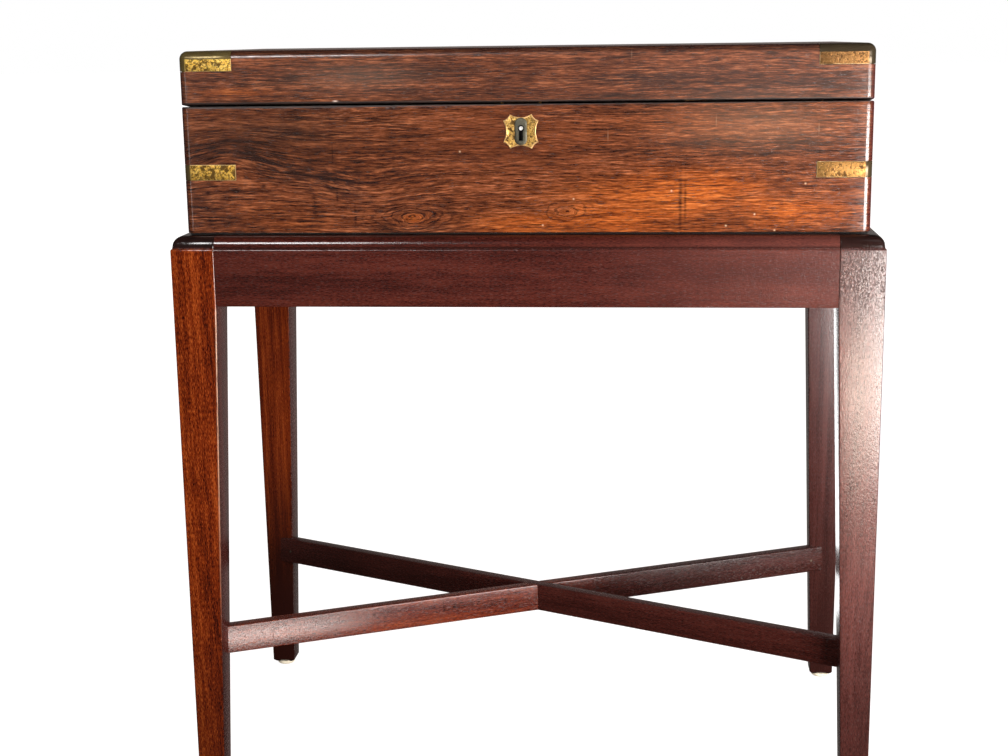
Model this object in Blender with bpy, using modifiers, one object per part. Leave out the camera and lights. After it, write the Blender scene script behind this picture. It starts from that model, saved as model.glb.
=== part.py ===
"""A brass-bound lap desk (a writing slope in a box) resting on a mahogany stand with tapered legs.

Metres, +Z up, +X to the right of someone facing the lock, +Y to the back, where the hinges are.
The origin is on the floor, under the middle of the stand.
"""

import math

import bmesh
import bpy
from mathutils import Matrix, Vector

# Driving dimensions: the lap desk
BOX_WIDTH = 0.508
BOX_DEPTH = 0.2545
BOX_HEIGHT = 0.1345
BASE_FRONT_HEIGHT = 0.0941
SEAM_GAP = 0.0016
FRONT_WALL = 0.013
SIDE_WALL = 0.010
BACK_WALL = 0.010
BOTTOM_THICKNESS = 0.006
LID_TOP_THICKNESS = 0.008
EDGE_RADIUS = 0.006
PAD_THICKNESS = 0.001
PAD_INSET = 0.002

# Driving dimensions: the brass corner straps
STRAP_LENGTH = 0.040
STRAP_THICKNESS = 0.0012
BASE_STRAP_HEIGHT = 0.0114
BASE_STRAP_LEVEL = 0.0453
LID_STRAP_DROP = 0.0147

# Driving dimensions: the butt hinges
HINGE_LENGTH = 0.050
HINGE_INSET = 0.085
HINGE_SETBACK = 0.0005
LEAF_WIDTH = 0.008
LEAF_THICKNESS = 0.0013
KNUCKLE_RADIUS = 0.0024
KNUCKLES = 5
HINGE_PIN_RADIUS = 0.0009
SWING_CLEARANCE = 0.0004

# Driving dimensions: the lock, its keyhole and its hook plate
LOCK_HEIGHT = 0.034
LOCK_PLATE = 0.001
LOCK_END = 0.002
KEY_CHAMBER_WIDTH = 0.024
KEYHOLE_LEVEL = 0.0763
KEYHOLE_RADIUS = 0.00245
KEYHOLE_SLOT = 0.003
KEYHOLE_DROP = 0.0089
LOCK_PIN_RADIUS = 0.0014
HOOK_SPACING = 0.028
HOOK_WIDTH = 0.0052
HOOK_THICKNESS = 0.0018
HOOK_TIP = 0.0012
HOOK_EYE_TOP = 0.0036
HOOK_EYE_HEIGHT = 0.0038
HOOK_EYE_WIDTH = 0.0030
HOOK_FRONT_CLEARANCE = 0.0004
HOOK_SWING_CLEARANCE = 0.0020
HOOK_SLOT_CLEARANCE = 0.0008
HOOK_PLATE_END = 0.006
HOOK_PLATE_THICKNESS = 0.0015
BOLT_TRAVEL = 0.004
BOLT_THICKNESS = 0.0020
BOLT_BAR_HEIGHT = 0.0024
BOLT_POST_WIDTH = 0.0025
BOLT_TONGUE_HEIGHT = 0.0026
BOLT_REST_CLEARANCE = 0.0008

# Driving dimensions: the escutcheon and the steel keyhole plate set in it
ESCUTCHEON_LEVEL = 0.0741
ESCUTCHEON_EAR = (0.0130, 0.0079)
ESCUTCHEON_HORN = (0.0080, 0.0125)
ESCUTCHEON_SIDE_SAG = 0.0016
ESCUTCHEON_END_SAG = 0.0020
ESCUTCHEON_CORNER_SAG = 0.0005
ESCUTCHEON_DEPTH = 0.0008
ESCUTCHEON_PROUD = 0.0004
KEYHOLE_PLATE_SIZE = (0.0091, 0.0198)
KEYHOLE_PLATE_ROUND = 0.0043
KEYHOLE_PLATE_PROUD = 0.0011

# Driving dimensions: inside the lap desk
FLAP_THICKNESS = 0.007
FLAP_RECESS = 0.0018
LEATHER_THICKNESS = 0.0009
LEATHER_BORDER = 0.014
DIVIDER = 0.006
DIVIDER_DROP = 0.004
TRAY_DEPTH = 0.058
WELL_WIDTH = 0.052
PEN_TRAY_THICKNESS = 0.016
PEN_TRAY_DROP = 0.012
PEN_TRAY_SEAT = 0.003
PEN_TRAY_END = 0.008
SCOOP_RADIUS = 0.024
SCOOP_DEPTH = 0.011
INKWELL_SIZE = 0.040
INKWELL_HEIGHT = 0.050
INKWELL_CORNER = 0.004
INKWELL_NECK_RADIUS = 0.013
INKWELL_NECK_HEIGHT = 0.006
INKWELL_BORE_RADIUS = 0.010
INKWELL_BORE_DEPTH = 0.044
INK_CAP_WALL = 0.0016
INK_CAP_HEIGHT = 0.013
INK_CAP_ROUND = 0.004
CATCH_WIDTH = 0.016
CATCH_LENGTH = 0.009
CATCH_THICKNESS = 0.0012
CATCH_OVERLAP = 0.003
CATCH_TRAVEL = 0.004

# Driving dimensions: the stand
LEDGE = 0.0105
STAND_HEIGHT = 0.4445
RAIL_HEIGHT = 0.0528
RAIL_THICKNESS = 0.020
LEG_TOP_SIZE = 0.0332
LEG_FOOT_SIZE = 0.0204
LEG_FOOT_CHAMFER = 0.002
TOP_EDGE_HEIGHT = 0.0094
TOP_EDGE_STEP = 0.001
TOP_EDGE_ROUND = 0.0075
TENON_LENGTH = 0.014
TENON_THICKNESS = 0.008
TENON_SHOULDER = 0.008
STRETCHER_HEIGHT = 0.0228
STRETCHER_THICKNESS = 0.010
STRETCHER_LEVEL = 0.118
STRETCHER_HOUSING = 0.011
GLIDE_RADIUS = 0.008
GLIDE_HEIGHT = 0.0035
GLIDE_ROUND = 0.0015

# The joint gap that glued and seated pieces keep, and the overrun of cutting shapes
JOIN = 0.0003
OVERRUN = 0.006
ARC_STEPS = 5
ROUND_SIDES = 24

# Levels and places that follow from the dimensions
stand_width = BOX_WIDTH + 2 * LEDGE
stand_depth = BOX_DEPTH + 2 * LEDGE
rail_bottom = STAND_HEIGHT - RAIL_HEIGHT
rail_face_top = STAND_HEIGHT - TOP_EDGE_HEIGHT
leg_bottom = GLIDE_HEIGHT + JOIN
pad_bottom = STAND_HEIGHT + JOIN
box_bottom = pad_bottom + PAD_THICKNESS + JOIN
box_top = box_bottom + BOX_HEIGHT
floor_top = box_bottom + BOTTOM_THICKNESS
front = -BOX_DEPTH / 2
back = BOX_DEPTH / 2
side = BOX_WIDTH / 2
front_inside = front + FRONT_WALL
back_inside = back - BACK_WALL
side_inside = side - SIDE_WALL

# The seam runs from BASE_FRONT_HEIGHT at the lock down to half the height at the hinges
hinge_y = back + HINGE_SETBACK
hinge_z = box_bottom + BOX_HEIGHT / 2
seam_rise = BASE_FRONT_HEIGHT - BOX_HEIGHT / 2 + SEAM_GAP / 2
slope = math.atan2(seam_rise, BOX_DEPTH + HINGE_SETBACK)
hinge_point = Vector((0, hinge_y, hinge_z))
seam_normal = Vector((0, math.sin(slope), math.cos(slope)))
slope_matrix = Matrix.Translation(hinge_point) @ Matrix.Rotation(-slope, 4, "X")


def seam_z(y, offset):
    """Height, at depth y, of the plane that lies offset above the middle of the seam."""
    return hinge_z + (offset - (y - hinge_y) * math.sin(slope)) / math.cos(slope)


def slope_y(y, offset):
    """Distance along the slope, from the hinge axis, of a point at depth y and offset off the seam."""
    return ((y - hinge_y) - offset * math.sin(slope)) / math.cos(slope)


# The scene: one collection for the parts and one for the shapes that cut them
for old in list(bpy.data.objects):
    bpy.data.objects.remove(old, do_unlink=True)
parts = bpy.data.collections.new("lap_desk_on_stand")
cutters = bpy.data.collections.new("cutters")
bpy.context.scene.collection.children.link(parts)
bpy.context.scene.collection.children.link(cutters)


def finish(name, color, roughness, metallic=0.0, transmission=0.0):
    """A material with one Principled shader."""
    made = bpy.data.materials.new(name)
    made.use_nodes = True
    shader = made.node_tree.nodes["Principled BSDF"]
    shader.inputs["Base Color"].default_value = (*color, 1)
    shader.inputs["Roughness"].default_value = roughness
    shader.inputs["Metallic"].default_value = metallic
    shader.inputs["Transmission Weight"].default_value = transmission
    return made


rosewood = finish("rosewood", (0.16, 0.045, 0.018), 0.32)
inner_wood = finish("inner_wood", (0.25, 0.10, 0.045), 0.45)
mahogany = finish("mahogany", (0.13, 0.032, 0.018), 0.28)
brass = finish("brass", (0.72, 0.50, 0.17), 0.32, metallic=1.0)
steel = finish("steel", (0.42, 0.41, 0.38), 0.38, metallic=1.0)
leather = finish("leather", (0.05, 0.11, 0.055), 0.55)
baize = finish("baize", (0.03, 0.13, 0.06), 0.95)
glass = finish("glass", (0.85, 0.92, 0.90), 0.05, transmission=0.9)
nylon = finish("nylon", (0.80, 0.74, 0.60), 0.50)

origins = {None: Vector()}


def body_axis(name, place, parent=None):
    """An empty on a moving body's joint axis, which carries that body's pieces."""
    empty = bpy.data.objects.new(name, None)
    empty.location = Vector(place) - origins[parent]
    empty.parent = parent
    parts.objects.link(empty)
    origins[empty] = Vector(place)
    return empty


lift_axis = body_axis("lift_axis", (0, 0, box_bottom))
lid_axis = body_axis("lid_axis", hinge_point, lift_axis)


def block(low, high):
    """A box between two opposite corners, given in any order."""
    bm = bmesh.new()
    low, high = Vector(map(min, low, high)), Vector(map(max, low, high))
    size = Matrix.Diagonal((*(high - low), 1))
    bmesh.ops.create_cube(bm, size=1, matrix=Matrix.Translation((low + high) / 2) @ size)
    return bm


def rod(start, end, radius):
    """A round bar between two points."""
    bm = bmesh.new()
    run = Vector(end) - Vector(start)
    turn = run.to_track_quat("Z", "Y").to_matrix().to_4x4()
    middle = Matrix.Translation((Vector(start) + Vector(end)) / 2)
    bmesh.ops.create_cone(
        bm, cap_ends=True, segments=ROUND_SIDES, radius1=radius, radius2=radius,
        depth=run.length, matrix=middle @ turn,
    )
    return bm


def round_edges(bm, radius, pick, steps=ARC_STEPS):
    """Rounds the edges whose middle and direction pick(middle, direction) accepts."""
    chosen = []
    for edge in bm.edges:
        first, second = (vert.co for vert in edge.verts)
        if pick((first + second) / 2, (second - first).normalized()):
            chosen.append(edge)
    bmesh.ops.bevel(
        bm, geom=chosen, offset=radius, offset_type="OFFSET", segments=steps,
        profile=0.5, affect="EDGES", clamp_overlap=True,
    )
    return bm


def upright(direction):
    return abs(direction.z) > 0.99


def trim(bm, offset, keep_above):
    """Cuts a shape along the plane offset above the seam's middle and closes the cut."""
    away = -seam_normal if keep_above else seam_normal
    bmesh.ops.bisect_plane(
        bm, geom=bm.verts[:] + bm.edges[:] + bm.faces[:], dist=1e-7,
        plane_co=hinge_point + seam_normal * offset, plane_no=away, clear_outer=True,
    )
    rim = [edge for edge in bm.edges if edge.is_boundary]
    bmesh.ops.edgeloop_fill(bm, edges=rim)
    return bm


def on_slope(bm):
    """Turns a shape drawn level about the hinge axis down to the seam's slope."""
    bmesh.ops.transform(bm, matrix=slope_matrix, verts=bm.verts)
    return bm


def make(name, bm, collection):
    mesh = bpy.data.meshes.new(name)
    bmesh.ops.recalc_face_normals(bm, faces=bm.faces)
    bm.to_mesh(mesh)
    bm.free()
    made = bpy.data.objects.new(name, mesh)
    collection.objects.link(made)
    return made


def piece(name, bm, material, body=None):
    """A finished part, carried by the empty of its body."""
    made = make(name, bm, parts)
    made.data.materials.append(material)
    made.data.shade_smooth()
    made.data.set_sharp_from_angle(angle=math.radians(30))
    made.parent = body
    made.matrix_parent_inverse = Matrix.Translation(-origins[body])
    return made


def tool(name, bm):
    """A shape that only cuts, joins or bounds others."""
    made = make(name, bm, cutters)
    made.hide_render = True
    made.display_type = "WIRE"
    return made


def combine(target, other, operation):
    modifier = target.modifiers.new(other.name, "BOOLEAN")
    modifier.operation = operation
    modifier.solver = "EXACT"
    modifier.object = other
    return target


def cut(target, *others):
    for other in others:
        combine(target, other, "DIFFERENCE")
    return target


def join(target, *others):
    for other in others:
        combine(target, other, "UNION")
    return target


def bound(target, other):
    return combine(target, other, "INTERSECT")


def turned(name, profile, place, material, body):
    """A turned piece: a profile of (radius, height) points, outer side first, swept by a Screw."""
    bm = bmesh.new()
    points = [bm.verts.new((radius, 0, height)) for radius, height in profile]
    for first, second in zip(points, points[1:]):
        bm.edges.new((first, second))
    mesh = bpy.data.meshes.new(name)
    bm.to_mesh(mesh)
    bm.free()
    mesh.materials.append(material)
    made = bpy.data.objects.new(name, mesh)
    made.location = place
    made.parent = body
    made.matrix_parent_inverse = Matrix.Translation(-origins[body])
    parts.objects.link(made)
    sweep = made.modifiers.new("turn", "SCREW")
    sweep.steps = ROUND_SIDES
    sweep.render_steps = ROUND_SIDES
    sweep.use_merge_vertices = True
    sweep.merge_threshold = 1e-5
    sweep.use_smooth_shade = True
    return made


def arc(centre, radius, start, end, steps=ARC_STEPS):
    """Points of an arc in degrees, both ends included."""
    angles = [math.radians(start + (end - start) * i / steps) for i in range(steps + 1)]
    return [(centre[0] + radius * math.cos(a), centre[1] + radius * math.sin(a)) for a in angles]


def plate(outline, front_y, back_y, level):
    """A flat plate on the front face: an outline in X and Z about a level, as a filled curve."""
    curve = bpy.data.curves.new("outline", "CURVE")
    curve.dimensions = "2D"
    curve.fill_mode = "BOTH"
    curve.extrude = (back_y - front_y) / 2
    spline = curve.splines.new("POLY")
    spline.points.add(len(outline) - 1)
    for point, (x, z) in zip(spline.points, outline):
        point.co = (x, z, 0, 1)
    spline.use_cyclic_u = True
    shape = bpy.data.objects.new("outline", curve)
    cutters.objects.link(shape)
    graph = bpy.context.evaluated_depsgraph_get()
    mesh = bpy.data.meshes.new_from_object(shape.evaluated_get(graph))
    bm = bmesh.new()
    bm.from_mesh(mesh)
    bmesh.ops.remove_doubles(bm, verts=bm.verts, dist=1e-6)
    stand_up = Matrix.Translation((0, (front_y + back_y) / 2, level)) @ Matrix.Rotation(math.pi / 2, 4, "X")
    bmesh.ops.transform(bm, matrix=stand_up, verts=bm.verts)
    bpy.data.objects.remove(shape)
    bpy.data.meshes.remove(mesh)
    return bm


# Stand: the rounded top edge is one cutter that shapes the rails and the leg tops alike
def rounded_edge_cutter():
    half_width = stand_width / 2 - TOP_EDGE_STEP
    half_depth = stand_depth / 2 - TOP_EDGE_STEP
    core = block((-half_width, -half_depth, rail_bottom), (half_width, half_depth, STAND_HEIGHT))
    round_edges(core, TOP_EDGE_ROUND, lambda middle, along: middle.z > STAND_HEIGHT - JOIN)
    outer = Vector((stand_width / 2 + OVERRUN, stand_depth / 2 + OVERRUN, 0))
    ring = tool(
        "cut_top_edge",
        block(-outer + Vector((0, 0, rail_face_top)), outer + Vector((0, 0, STAND_HEIGHT + 2 * OVERRUN))),
    )
    return cut(ring, tool("core_top_edge", core))


top_edge = rounded_edge_cutter()


def tenon(grow, x_rail, end):
    """One tenon in the rail's own direction: grow widens it into its mortise."""
    half_length = (stand_width if x_rail else stand_depth) / 2 - LEG_TOP_SIZE
    across = (stand_depth if x_rail else stand_width) / 2 - RAIL_THICKNESS / 2
    low = (half_length - OVERRUN, -TENON_THICKNESS / 2 - grow, rail_bottom + TENON_SHOULDER - grow)
    high = (
        half_length + TENON_LENGTH + grow, TENON_THICKNESS / 2 + grow,
        rail_face_top - TENON_SHOULDER + grow,
    )
    bm = block(low, high)
    if end < 0:
        bmesh.ops.transform(bm, matrix=Matrix.Diagonal((-1, 1, 1, 1)), verts=bm.verts)
    return bm, across


def place_rail_shape(bm, x_rail, facing, across):
    """Moves a shape drawn along X to the rail on the side that facing gives."""
    turn = Matrix.Identity(4) if x_rail else Matrix.Rotation(math.pi / 2, 4, "Z")
    shift = Vector((0, facing * across, 0)) if x_rail else Vector((facing * across, 0, 0))
    bmesh.ops.transform(bm, matrix=Matrix.Translation(shift) @ turn, verts=bm.verts)
    return bm


RAILS = {
    "rail_front": (True, -1), "rail_rear": (True, 1),
    "rail_left": (False, -1), "rail_right": (False, 1),
}
LEGS = {
    "leg_front_left": (-1, -1), "leg_front_right": (1, -1),
    "leg_rear_left": (-1, 1), "leg_rear_right": (1, 1),
}
mortises = []
for name, (x_rail, facing) in RAILS.items():
    half = (stand_width if x_rail else stand_depth) / 2 - LEG_TOP_SIZE - JOIN
    half_thick = RAIL_THICKNESS / 2
    rail = block((-half, -half_thick, rail_bottom), (half, half_thick, STAND_HEIGHT + OVERRUN))
    across = (stand_depth if x_rail else stand_width) / 2 - half_thick
    rail = piece(name, place_rail_shape(rail, x_rail, facing, across), mahogany)
    for end in (-1, 1):
        shape, across = tenon(0, x_rail, end)
        join(rail, tool(f"tenon_{name}_{end}", place_rail_shape(shape, x_rail, facing, across)))
        shape, across = tenon(JOIN, x_rail, end)
        mortises.append(tool(f"mortise_{name}_{end}", place_rail_shape(shape, x_rail, facing, across)))
    cut(rail, top_edge)


def leg_size(z):
    """Width of the square leg at height z, tapering below the rails."""
    share = min(1, (z - leg_bottom) / (rail_bottom - leg_bottom))
    return LEG_FOOT_SIZE + (LEG_TOP_SIZE - LEG_FOOT_SIZE) * share


def leg(name, right, rear):
    """A square leg whose two inner faces taper below the rails, chamfered at the foot."""
    outer = Vector((right * stand_width / 2, rear * stand_depth / 2, 0))
    inner = outer - Vector((right, rear, 0)) * LEG_TOP_SIZE
    bm = block(outer + Vector((0, 0, leg_bottom)), inner + Vector((0, 0, STAND_HEIGHT + OVERRUN)))
    everything = bm.verts[:] + bm.edges[:] + bm.faces[:]
    bmesh.ops.bisect_plane(bm, geom=everything, plane_co=(0, 0, rail_bottom), plane_no=(0, 0, 1))
    foot = outer - Vector((right, rear, 0)) * LEG_FOOT_SIZE
    for vert in bm.verts:
        if vert.co.z < leg_bottom + JOIN:
            vert.co.x = foot.x if abs(vert.co.x - inner.x) < JOIN else vert.co.x
            vert.co.y = foot.y if abs(vert.co.y - inner.y) < JOIN else vert.co.y
    round_edges(bm, LEG_FOOT_CHAMFER, lambda middle, along: middle.z < leg_bottom + JOIN, steps=1)
    return piece(name, bm, mahogany)


corner_x = stand_width / 2 - leg_size(STRETCHER_LEVEL)
corner_y = stand_depth / 2 - leg_size(STRETCHER_LEVEL)
stretcher_turn = math.atan2(corner_y, corner_x)
stretcher_half = math.hypot(corner_x, corner_y) + STRETCHER_HOUSING


def stretcher_shape(rising, grow, low=-0.5, high=0.5, half_length=stretcher_half):
    """A bar across the stand: low and high are shares of its height, grow opens a housing for it."""
    half_thick = STRETCHER_THICKNESS / 2 + grow
    bm = block(
        (-half_length - grow, -half_thick, STRETCHER_LEVEL + low * STRETCHER_HEIGHT - grow),
        (half_length + grow, half_thick, STRETCHER_LEVEL + high * STRETCHER_HEIGHT + grow),
    )
    turn = Matrix.Rotation(rising * stretcher_turn, 4, "Z")
    bmesh.ops.transform(bm, matrix=turn, verts=bm.verts)
    return bm


stretcher_left = piece("stretcher_front_left", stretcher_shape(1, 0), mahogany)
stretcher_right = piece("stretcher_front_right", stretcher_shape(-1, 0), mahogany)
housings = {
    1: tool("housing_front_left", stretcher_shape(1, JOIN)),
    -1: tool("housing_front_right", stretcher_shape(-1, JOIN)),
}
lap_length = STRETCHER_THICKNESS / math.sin(2 * stretcher_turn) + OVERRUN
cut(stretcher_left, tool("lap_top", stretcher_shape(-1, JOIN, low=0, high=1, half_length=lap_length)))
cut(stretcher_right, tool("lap_bottom", stretcher_shape(1, JOIN, low=-1, high=0, half_length=lap_length)))

for name, (right, rear) in LEGS.items():
    made = leg(name, right, rear)
    near = Vector((right * stand_width / 2, rear * stand_depth / 2, 0))
    for mortise in mortises:
        middle = sum((Vector(corner) for corner in mortise.bound_box), Vector()) / 8
        if (middle - near).xy.length < 2 * LEG_TOP_SIZE:
            cut(made, mortise)
    cut(made, housings[right * rear], top_edge)
    foot_middle = near - Vector((right, rear, 0)) * LEG_FOOT_SIZE / 2
    dome = [(0, GLIDE_HEIGHT), (GLIDE_RADIUS, GLIDE_HEIGHT)]
    dome += arc((GLIDE_RADIUS - GLIDE_ROUND, GLIDE_ROUND), GLIDE_ROUND, 0, -90)
    dome += [(0, 0)]
    turned(name.replace("leg", "glide"), dome, foot_middle, nylon, None)

# Lap desk base: walls, bottom board and baize pad
base_top = -SEAM_GAP / 2
lid_low = SEAM_GAP / 2
tallest = seam_z(front, 0) + OVERRUN


def outer_corner(facing):
    """Picks the two outer upright edges of a wall that faces front (-1) or back (1)."""
    face = facing * BOX_DEPTH / 2
    return lambda middle, along: upright(along) and abs(middle.y - face) < JOIN


def base_wall(name, low, high, facing=0):
    bm = block((*low, box_bottom), (*high, tallest))
    if facing:
        round_edges(bm, EDGE_RADIUS, outer_corner(facing))
    return piece(name, trim(bm, base_top, keep_above=False), rosewood, lift_axis)


base_front = base_wall("base_front", (-side, front), (side, front_inside), -1)
base_back = base_wall("base_back", (-side, back_inside), (side, back), 1)
base_left = base_wall("base_left", (-side, front_inside + JOIN), (-side_inside, back_inside - JOIN))
base_right = base_wall("base_right", (side_inside, front_inside + JOIN), (side, back_inside - JOIN))
piece(
    "base_bottom",
    block(
        (-side_inside + JOIN, front_inside + JOIN, box_bottom),
        (side_inside - JOIN, back_inside - JOIN, floor_top),
    ),
    inner_wood, lift_axis,
)
piece(
    "base_pad",
    block(
        (-side + PAD_INSET, front + PAD_INSET, pad_bottom),
        (side - PAD_INSET, back - PAD_INSET, pad_bottom + PAD_THICKNESS),
    ),
    baize, lift_axis,
)


# Lap desk lid: the top board lies over four walls
def lid_wall(name, low, high, facing=0):
    bm = block((*low, box_bottom), (*high, box_top - LID_TOP_THICKNESS - JOIN))
    if facing:
        round_edges(bm, EDGE_RADIUS, outer_corner(facing))
    return piece(name, trim(bm, lid_low, keep_above=True), rosewood, lid_axis)


def rounded_shell(inset, bottom):
    """The box's outside with its upright corners and top edges rounded, drawn in by inset."""
    bm = block((-side + inset, front + inset, bottom), (side - inset, back - inset, box_top - inset))
    return round_edges(
        bm, EDGE_RADIUS - inset,
        lambda middle, along: upright(along) or middle.z > box_top - inset - JOIN,
    )


lid_front = lid_wall("lid_front", (-side, front), (side, front_inside), -1)
lid_back = lid_wall("lid_back", (-side, back_inside), (side, back), 1)
lid_left = lid_wall("lid_left", (-side, front_inside + JOIN), (-side_inside, back_inside - JOIN))
lid_right = lid_wall("lid_right", (side_inside, front_inside + JOIN), (side, back_inside - JOIN))
lid_top = piece("lid_top", rounded_shell(0, box_top - LID_TOP_THICKNESS), rosewood, lid_axis)

# Brass corner straps, let in flush: each is a slice of the rounded shell round one corner
outer_shell = tool("shell_outer", rounded_shell(0, box_bottom - OVERRUN))
strap_seat = tool("shell_strap_seat", rounded_shell(STRAP_THICKNESS, box_bottom - 2 * OVERRUN))
recess_seat = tool("shell_recess_seat", rounded_shell(STRAP_THICKNESS + JOIN, box_bottom - 2 * OVERRUN))


def corner_slice(right, rear, arm, low, high, grow):
    """An L-shaped slice round one corner: its two legs are STRAP_LENGTH long and arm wide."""
    corner = Vector((right * side, rear * BOX_DEPTH / 2, 0))
    inward = Vector((-right, -rear, 0))

    def leg_box(reach_x, reach_y):
        outside = corner - inward * OVERRUN
        inside = corner + Vector((inward.x * (reach_x + grow), inward.y * (reach_y + grow), 0))
        return block((*outside.xy, low - grow), (*inside.xy, high + grow))

    return leg_box(STRAP_LENGTH, arm), leg_box(arm, STRAP_LENGTH)


def corner_strap(name, right, rear, arm, low, high, body, walls):
    along_x, along_y = corner_slice(right, rear, arm, low, high, 0)
    strap = piece(name, along_x, brass, body)
    join(strap, tool(f"arm_{name}", along_y))
    bound(strap, outer_shell)
    cut(strap, strap_seat)
    along_x, along_y = corner_slice(right, rear, arm, low, high, JOIN)
    recess = tool(f"recess_{name}", along_x)
    join(recess, tool(f"recess_arm_{name}", along_y))
    cut(recess, recess_seat)
    for wall in walls:
        cut(wall, recess)


strap_low = box_bottom + BASE_STRAP_LEVEL - BASE_STRAP_HEIGHT / 2
strap_high = strap_low + BASE_STRAP_HEIGHT
base_arm = EDGE_RADIUS + STRAP_THICKNESS
for name, (right, rear) in LEGS.items():
    corner_name = name.replace("leg_", "")
    base_walls = [base_front if rear < 0 else base_back, base_left if right < 0 else base_right]
    lid_walls = [lid_front if rear < 0 else lid_back, lid_left if right < 0 else lid_right, lid_top]
    corner_strap(
        f"base_strap_{corner_name}", right, rear, base_arm, strap_low, strap_high, lift_axis, base_walls,
    )
    corner_strap(
        f"lid_strap_{corner_name}", right, rear, LID_STRAP_DROP,
        box_top - LID_STRAP_DROP, box_top + OVERRUN, lid_axis, lid_walls,
    )

# Butt hinges: both leaves are let into the seam, and their knuckles alternate along one pin
knuckle_length = HINGE_LENGTH / KNUCKLES
swing_radius = KNUCKLE_RADIUS + SWING_CLEARANCE


def hinge_rod(middle_x, first, last, radius, grow=0.0):
    """A round bar on the hinge axis over the knuckles first to last, in the level slope frame."""
    start = middle_x - HINGE_LENGTH / 2 + first * knuckle_length - grow
    end = middle_x - HINGE_LENGTH / 2 + (last + 1) * knuckle_length + grow
    return rod((start, 0, 0), (end, 0, 0), radius)


def leaf_block(middle_x, up, grow):
    """The flat of a leaf below (-1) or above (1) the seam: grow opens its recess, past the seam too."""
    half = HINGE_LENGTH / 2 + grow
    near = up * (SEAM_GAP / 2 - (grow and OVERRUN))
    far = up * (SEAM_GAP / 2 + LEAF_THICKNESS + grow)
    return block((middle_x - half, -LEAF_WIDTH - grow, near), (middle_x + half, grow and OVERRUN, far))


def hinge_leaf(name, middle_x, up, body, wall):
    leaf = piece(name, on_slope(leaf_block(middle_x, up, 0)), brass, body)
    own = [k for k in range(KNUCKLES) if (k % 2 == 0) == (up < 0)]
    for knuckle in range(KNUCKLES):
        if knuckle in own:
            bar = hinge_rod(middle_x, knuckle, knuckle, KNUCKLE_RADIUS, -JOIN / 2)
            join(leaf, tool(f"knuckle_{name}_{knuckle}", on_slope(bar)))
        else:
            bar = hinge_rod(middle_x, knuckle, knuckle, swing_radius, JOIN / 2)
            cut(leaf, tool(f"notch_{name}_{knuckle}", on_slope(bar)))
    bore = hinge_rod(middle_x, 0, KNUCKLES - 1, HINGE_PIN_RADIUS + JOIN, OVERRUN)
    cut(leaf, tool(f"bore_{name}", on_slope(bore)))
    cut(wall, tool(f"recess_{name}", on_slope(leaf_block(middle_x, up, JOIN))))
    barrel = hinge_rod(middle_x, 0, KNUCKLES - 1, swing_radius, JOIN)
    cut(wall, tool(f"recess_barrel_{name}", on_slope(barrel)))


for hand, right in (("left", -1), ("right", 1)):
    middle_x = right * (side - HINGE_INSET)
    hinge_leaf(f"hinge_base_{hand}", middle_x, -1, lift_axis, base_back)
    hinge_leaf(f"hinge_lid_{hand}", middle_x, 1, lid_axis, lid_back)
    pin = hinge_rod(middle_x, 0, KNUCKLES - 1, HINGE_PIN_RADIUS)
    piece(f"hinge_pin_{hand}", on_slope(pin), brass, lid_axis)

# Lock: a brass case let into the front wall from inside, a sliding bolt and a drill pin
lock_back = front_inside
lock_depth = 2 * LOCK_PLATE + HOOK_FRONT_CLEARANCE + HOOK_WIDTH + HOOK_SWING_CLEARANCE
lock_front = lock_back - lock_depth
chamber_front = lock_front + LOCK_PLATE
chamber_back = lock_back - LOCK_PLATE
hook_reach = HOOK_EYE_TOP + HOOK_EYE_HEIGHT + HOOK_TIP
bolt_floor = hook_reach + SWING_CLEARANCE + BOLT_BAR_HEIGHT
chamber_depth = bolt_floor + JOIN
post_right = -HOOK_THICKNESS / 2 - SWING_CLEARANCE - BOLT_TRAVEL
post_left = post_right - BOLT_POST_WIDTH
chamber_half = HOOK_SPACING / 2 - post_left + SWING_CLEARANCE
lock_half = chamber_half + LOCK_END
lock_top = seam_z(lock_back, base_top)
keyhole_z = box_bottom + KEYHOLE_LEVEL
hook_front = chamber_front + HOOK_FRONT_CLEARANCE
hook_middle = hook_front + HOOK_WIDTH / 2
hook_places = (-HOOK_SPACING / 2, HOOK_SPACING / 2)


def lock_block(half_width, y_low, y_high, down_from, down_to, middle_x=0.0):
    """A box under the lock's top edge: down_from and down_to are depths below it."""
    return block(
        (middle_x - half_width, y_low, lock_top - down_from),
        (middle_x + half_width, y_high, lock_top - down_to),
    )


def keyhole(grow, y_low, y_high):
    """The keyhole's cutter: a round hole over a slot."""
    hole = rod((0, y_low, keyhole_z), (0, y_high, keyhole_z), KEYHOLE_RADIUS + grow)
    half = KEYHOLE_SLOT / 2 + grow
    slot = block((-half, y_low, keyhole_z - KEYHOLE_DROP - grow), (half, y_high, keyhole_z))
    return join(tool("cut_keyhole_round", hole), tool("cut_keyhole_slot", slot))


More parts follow.
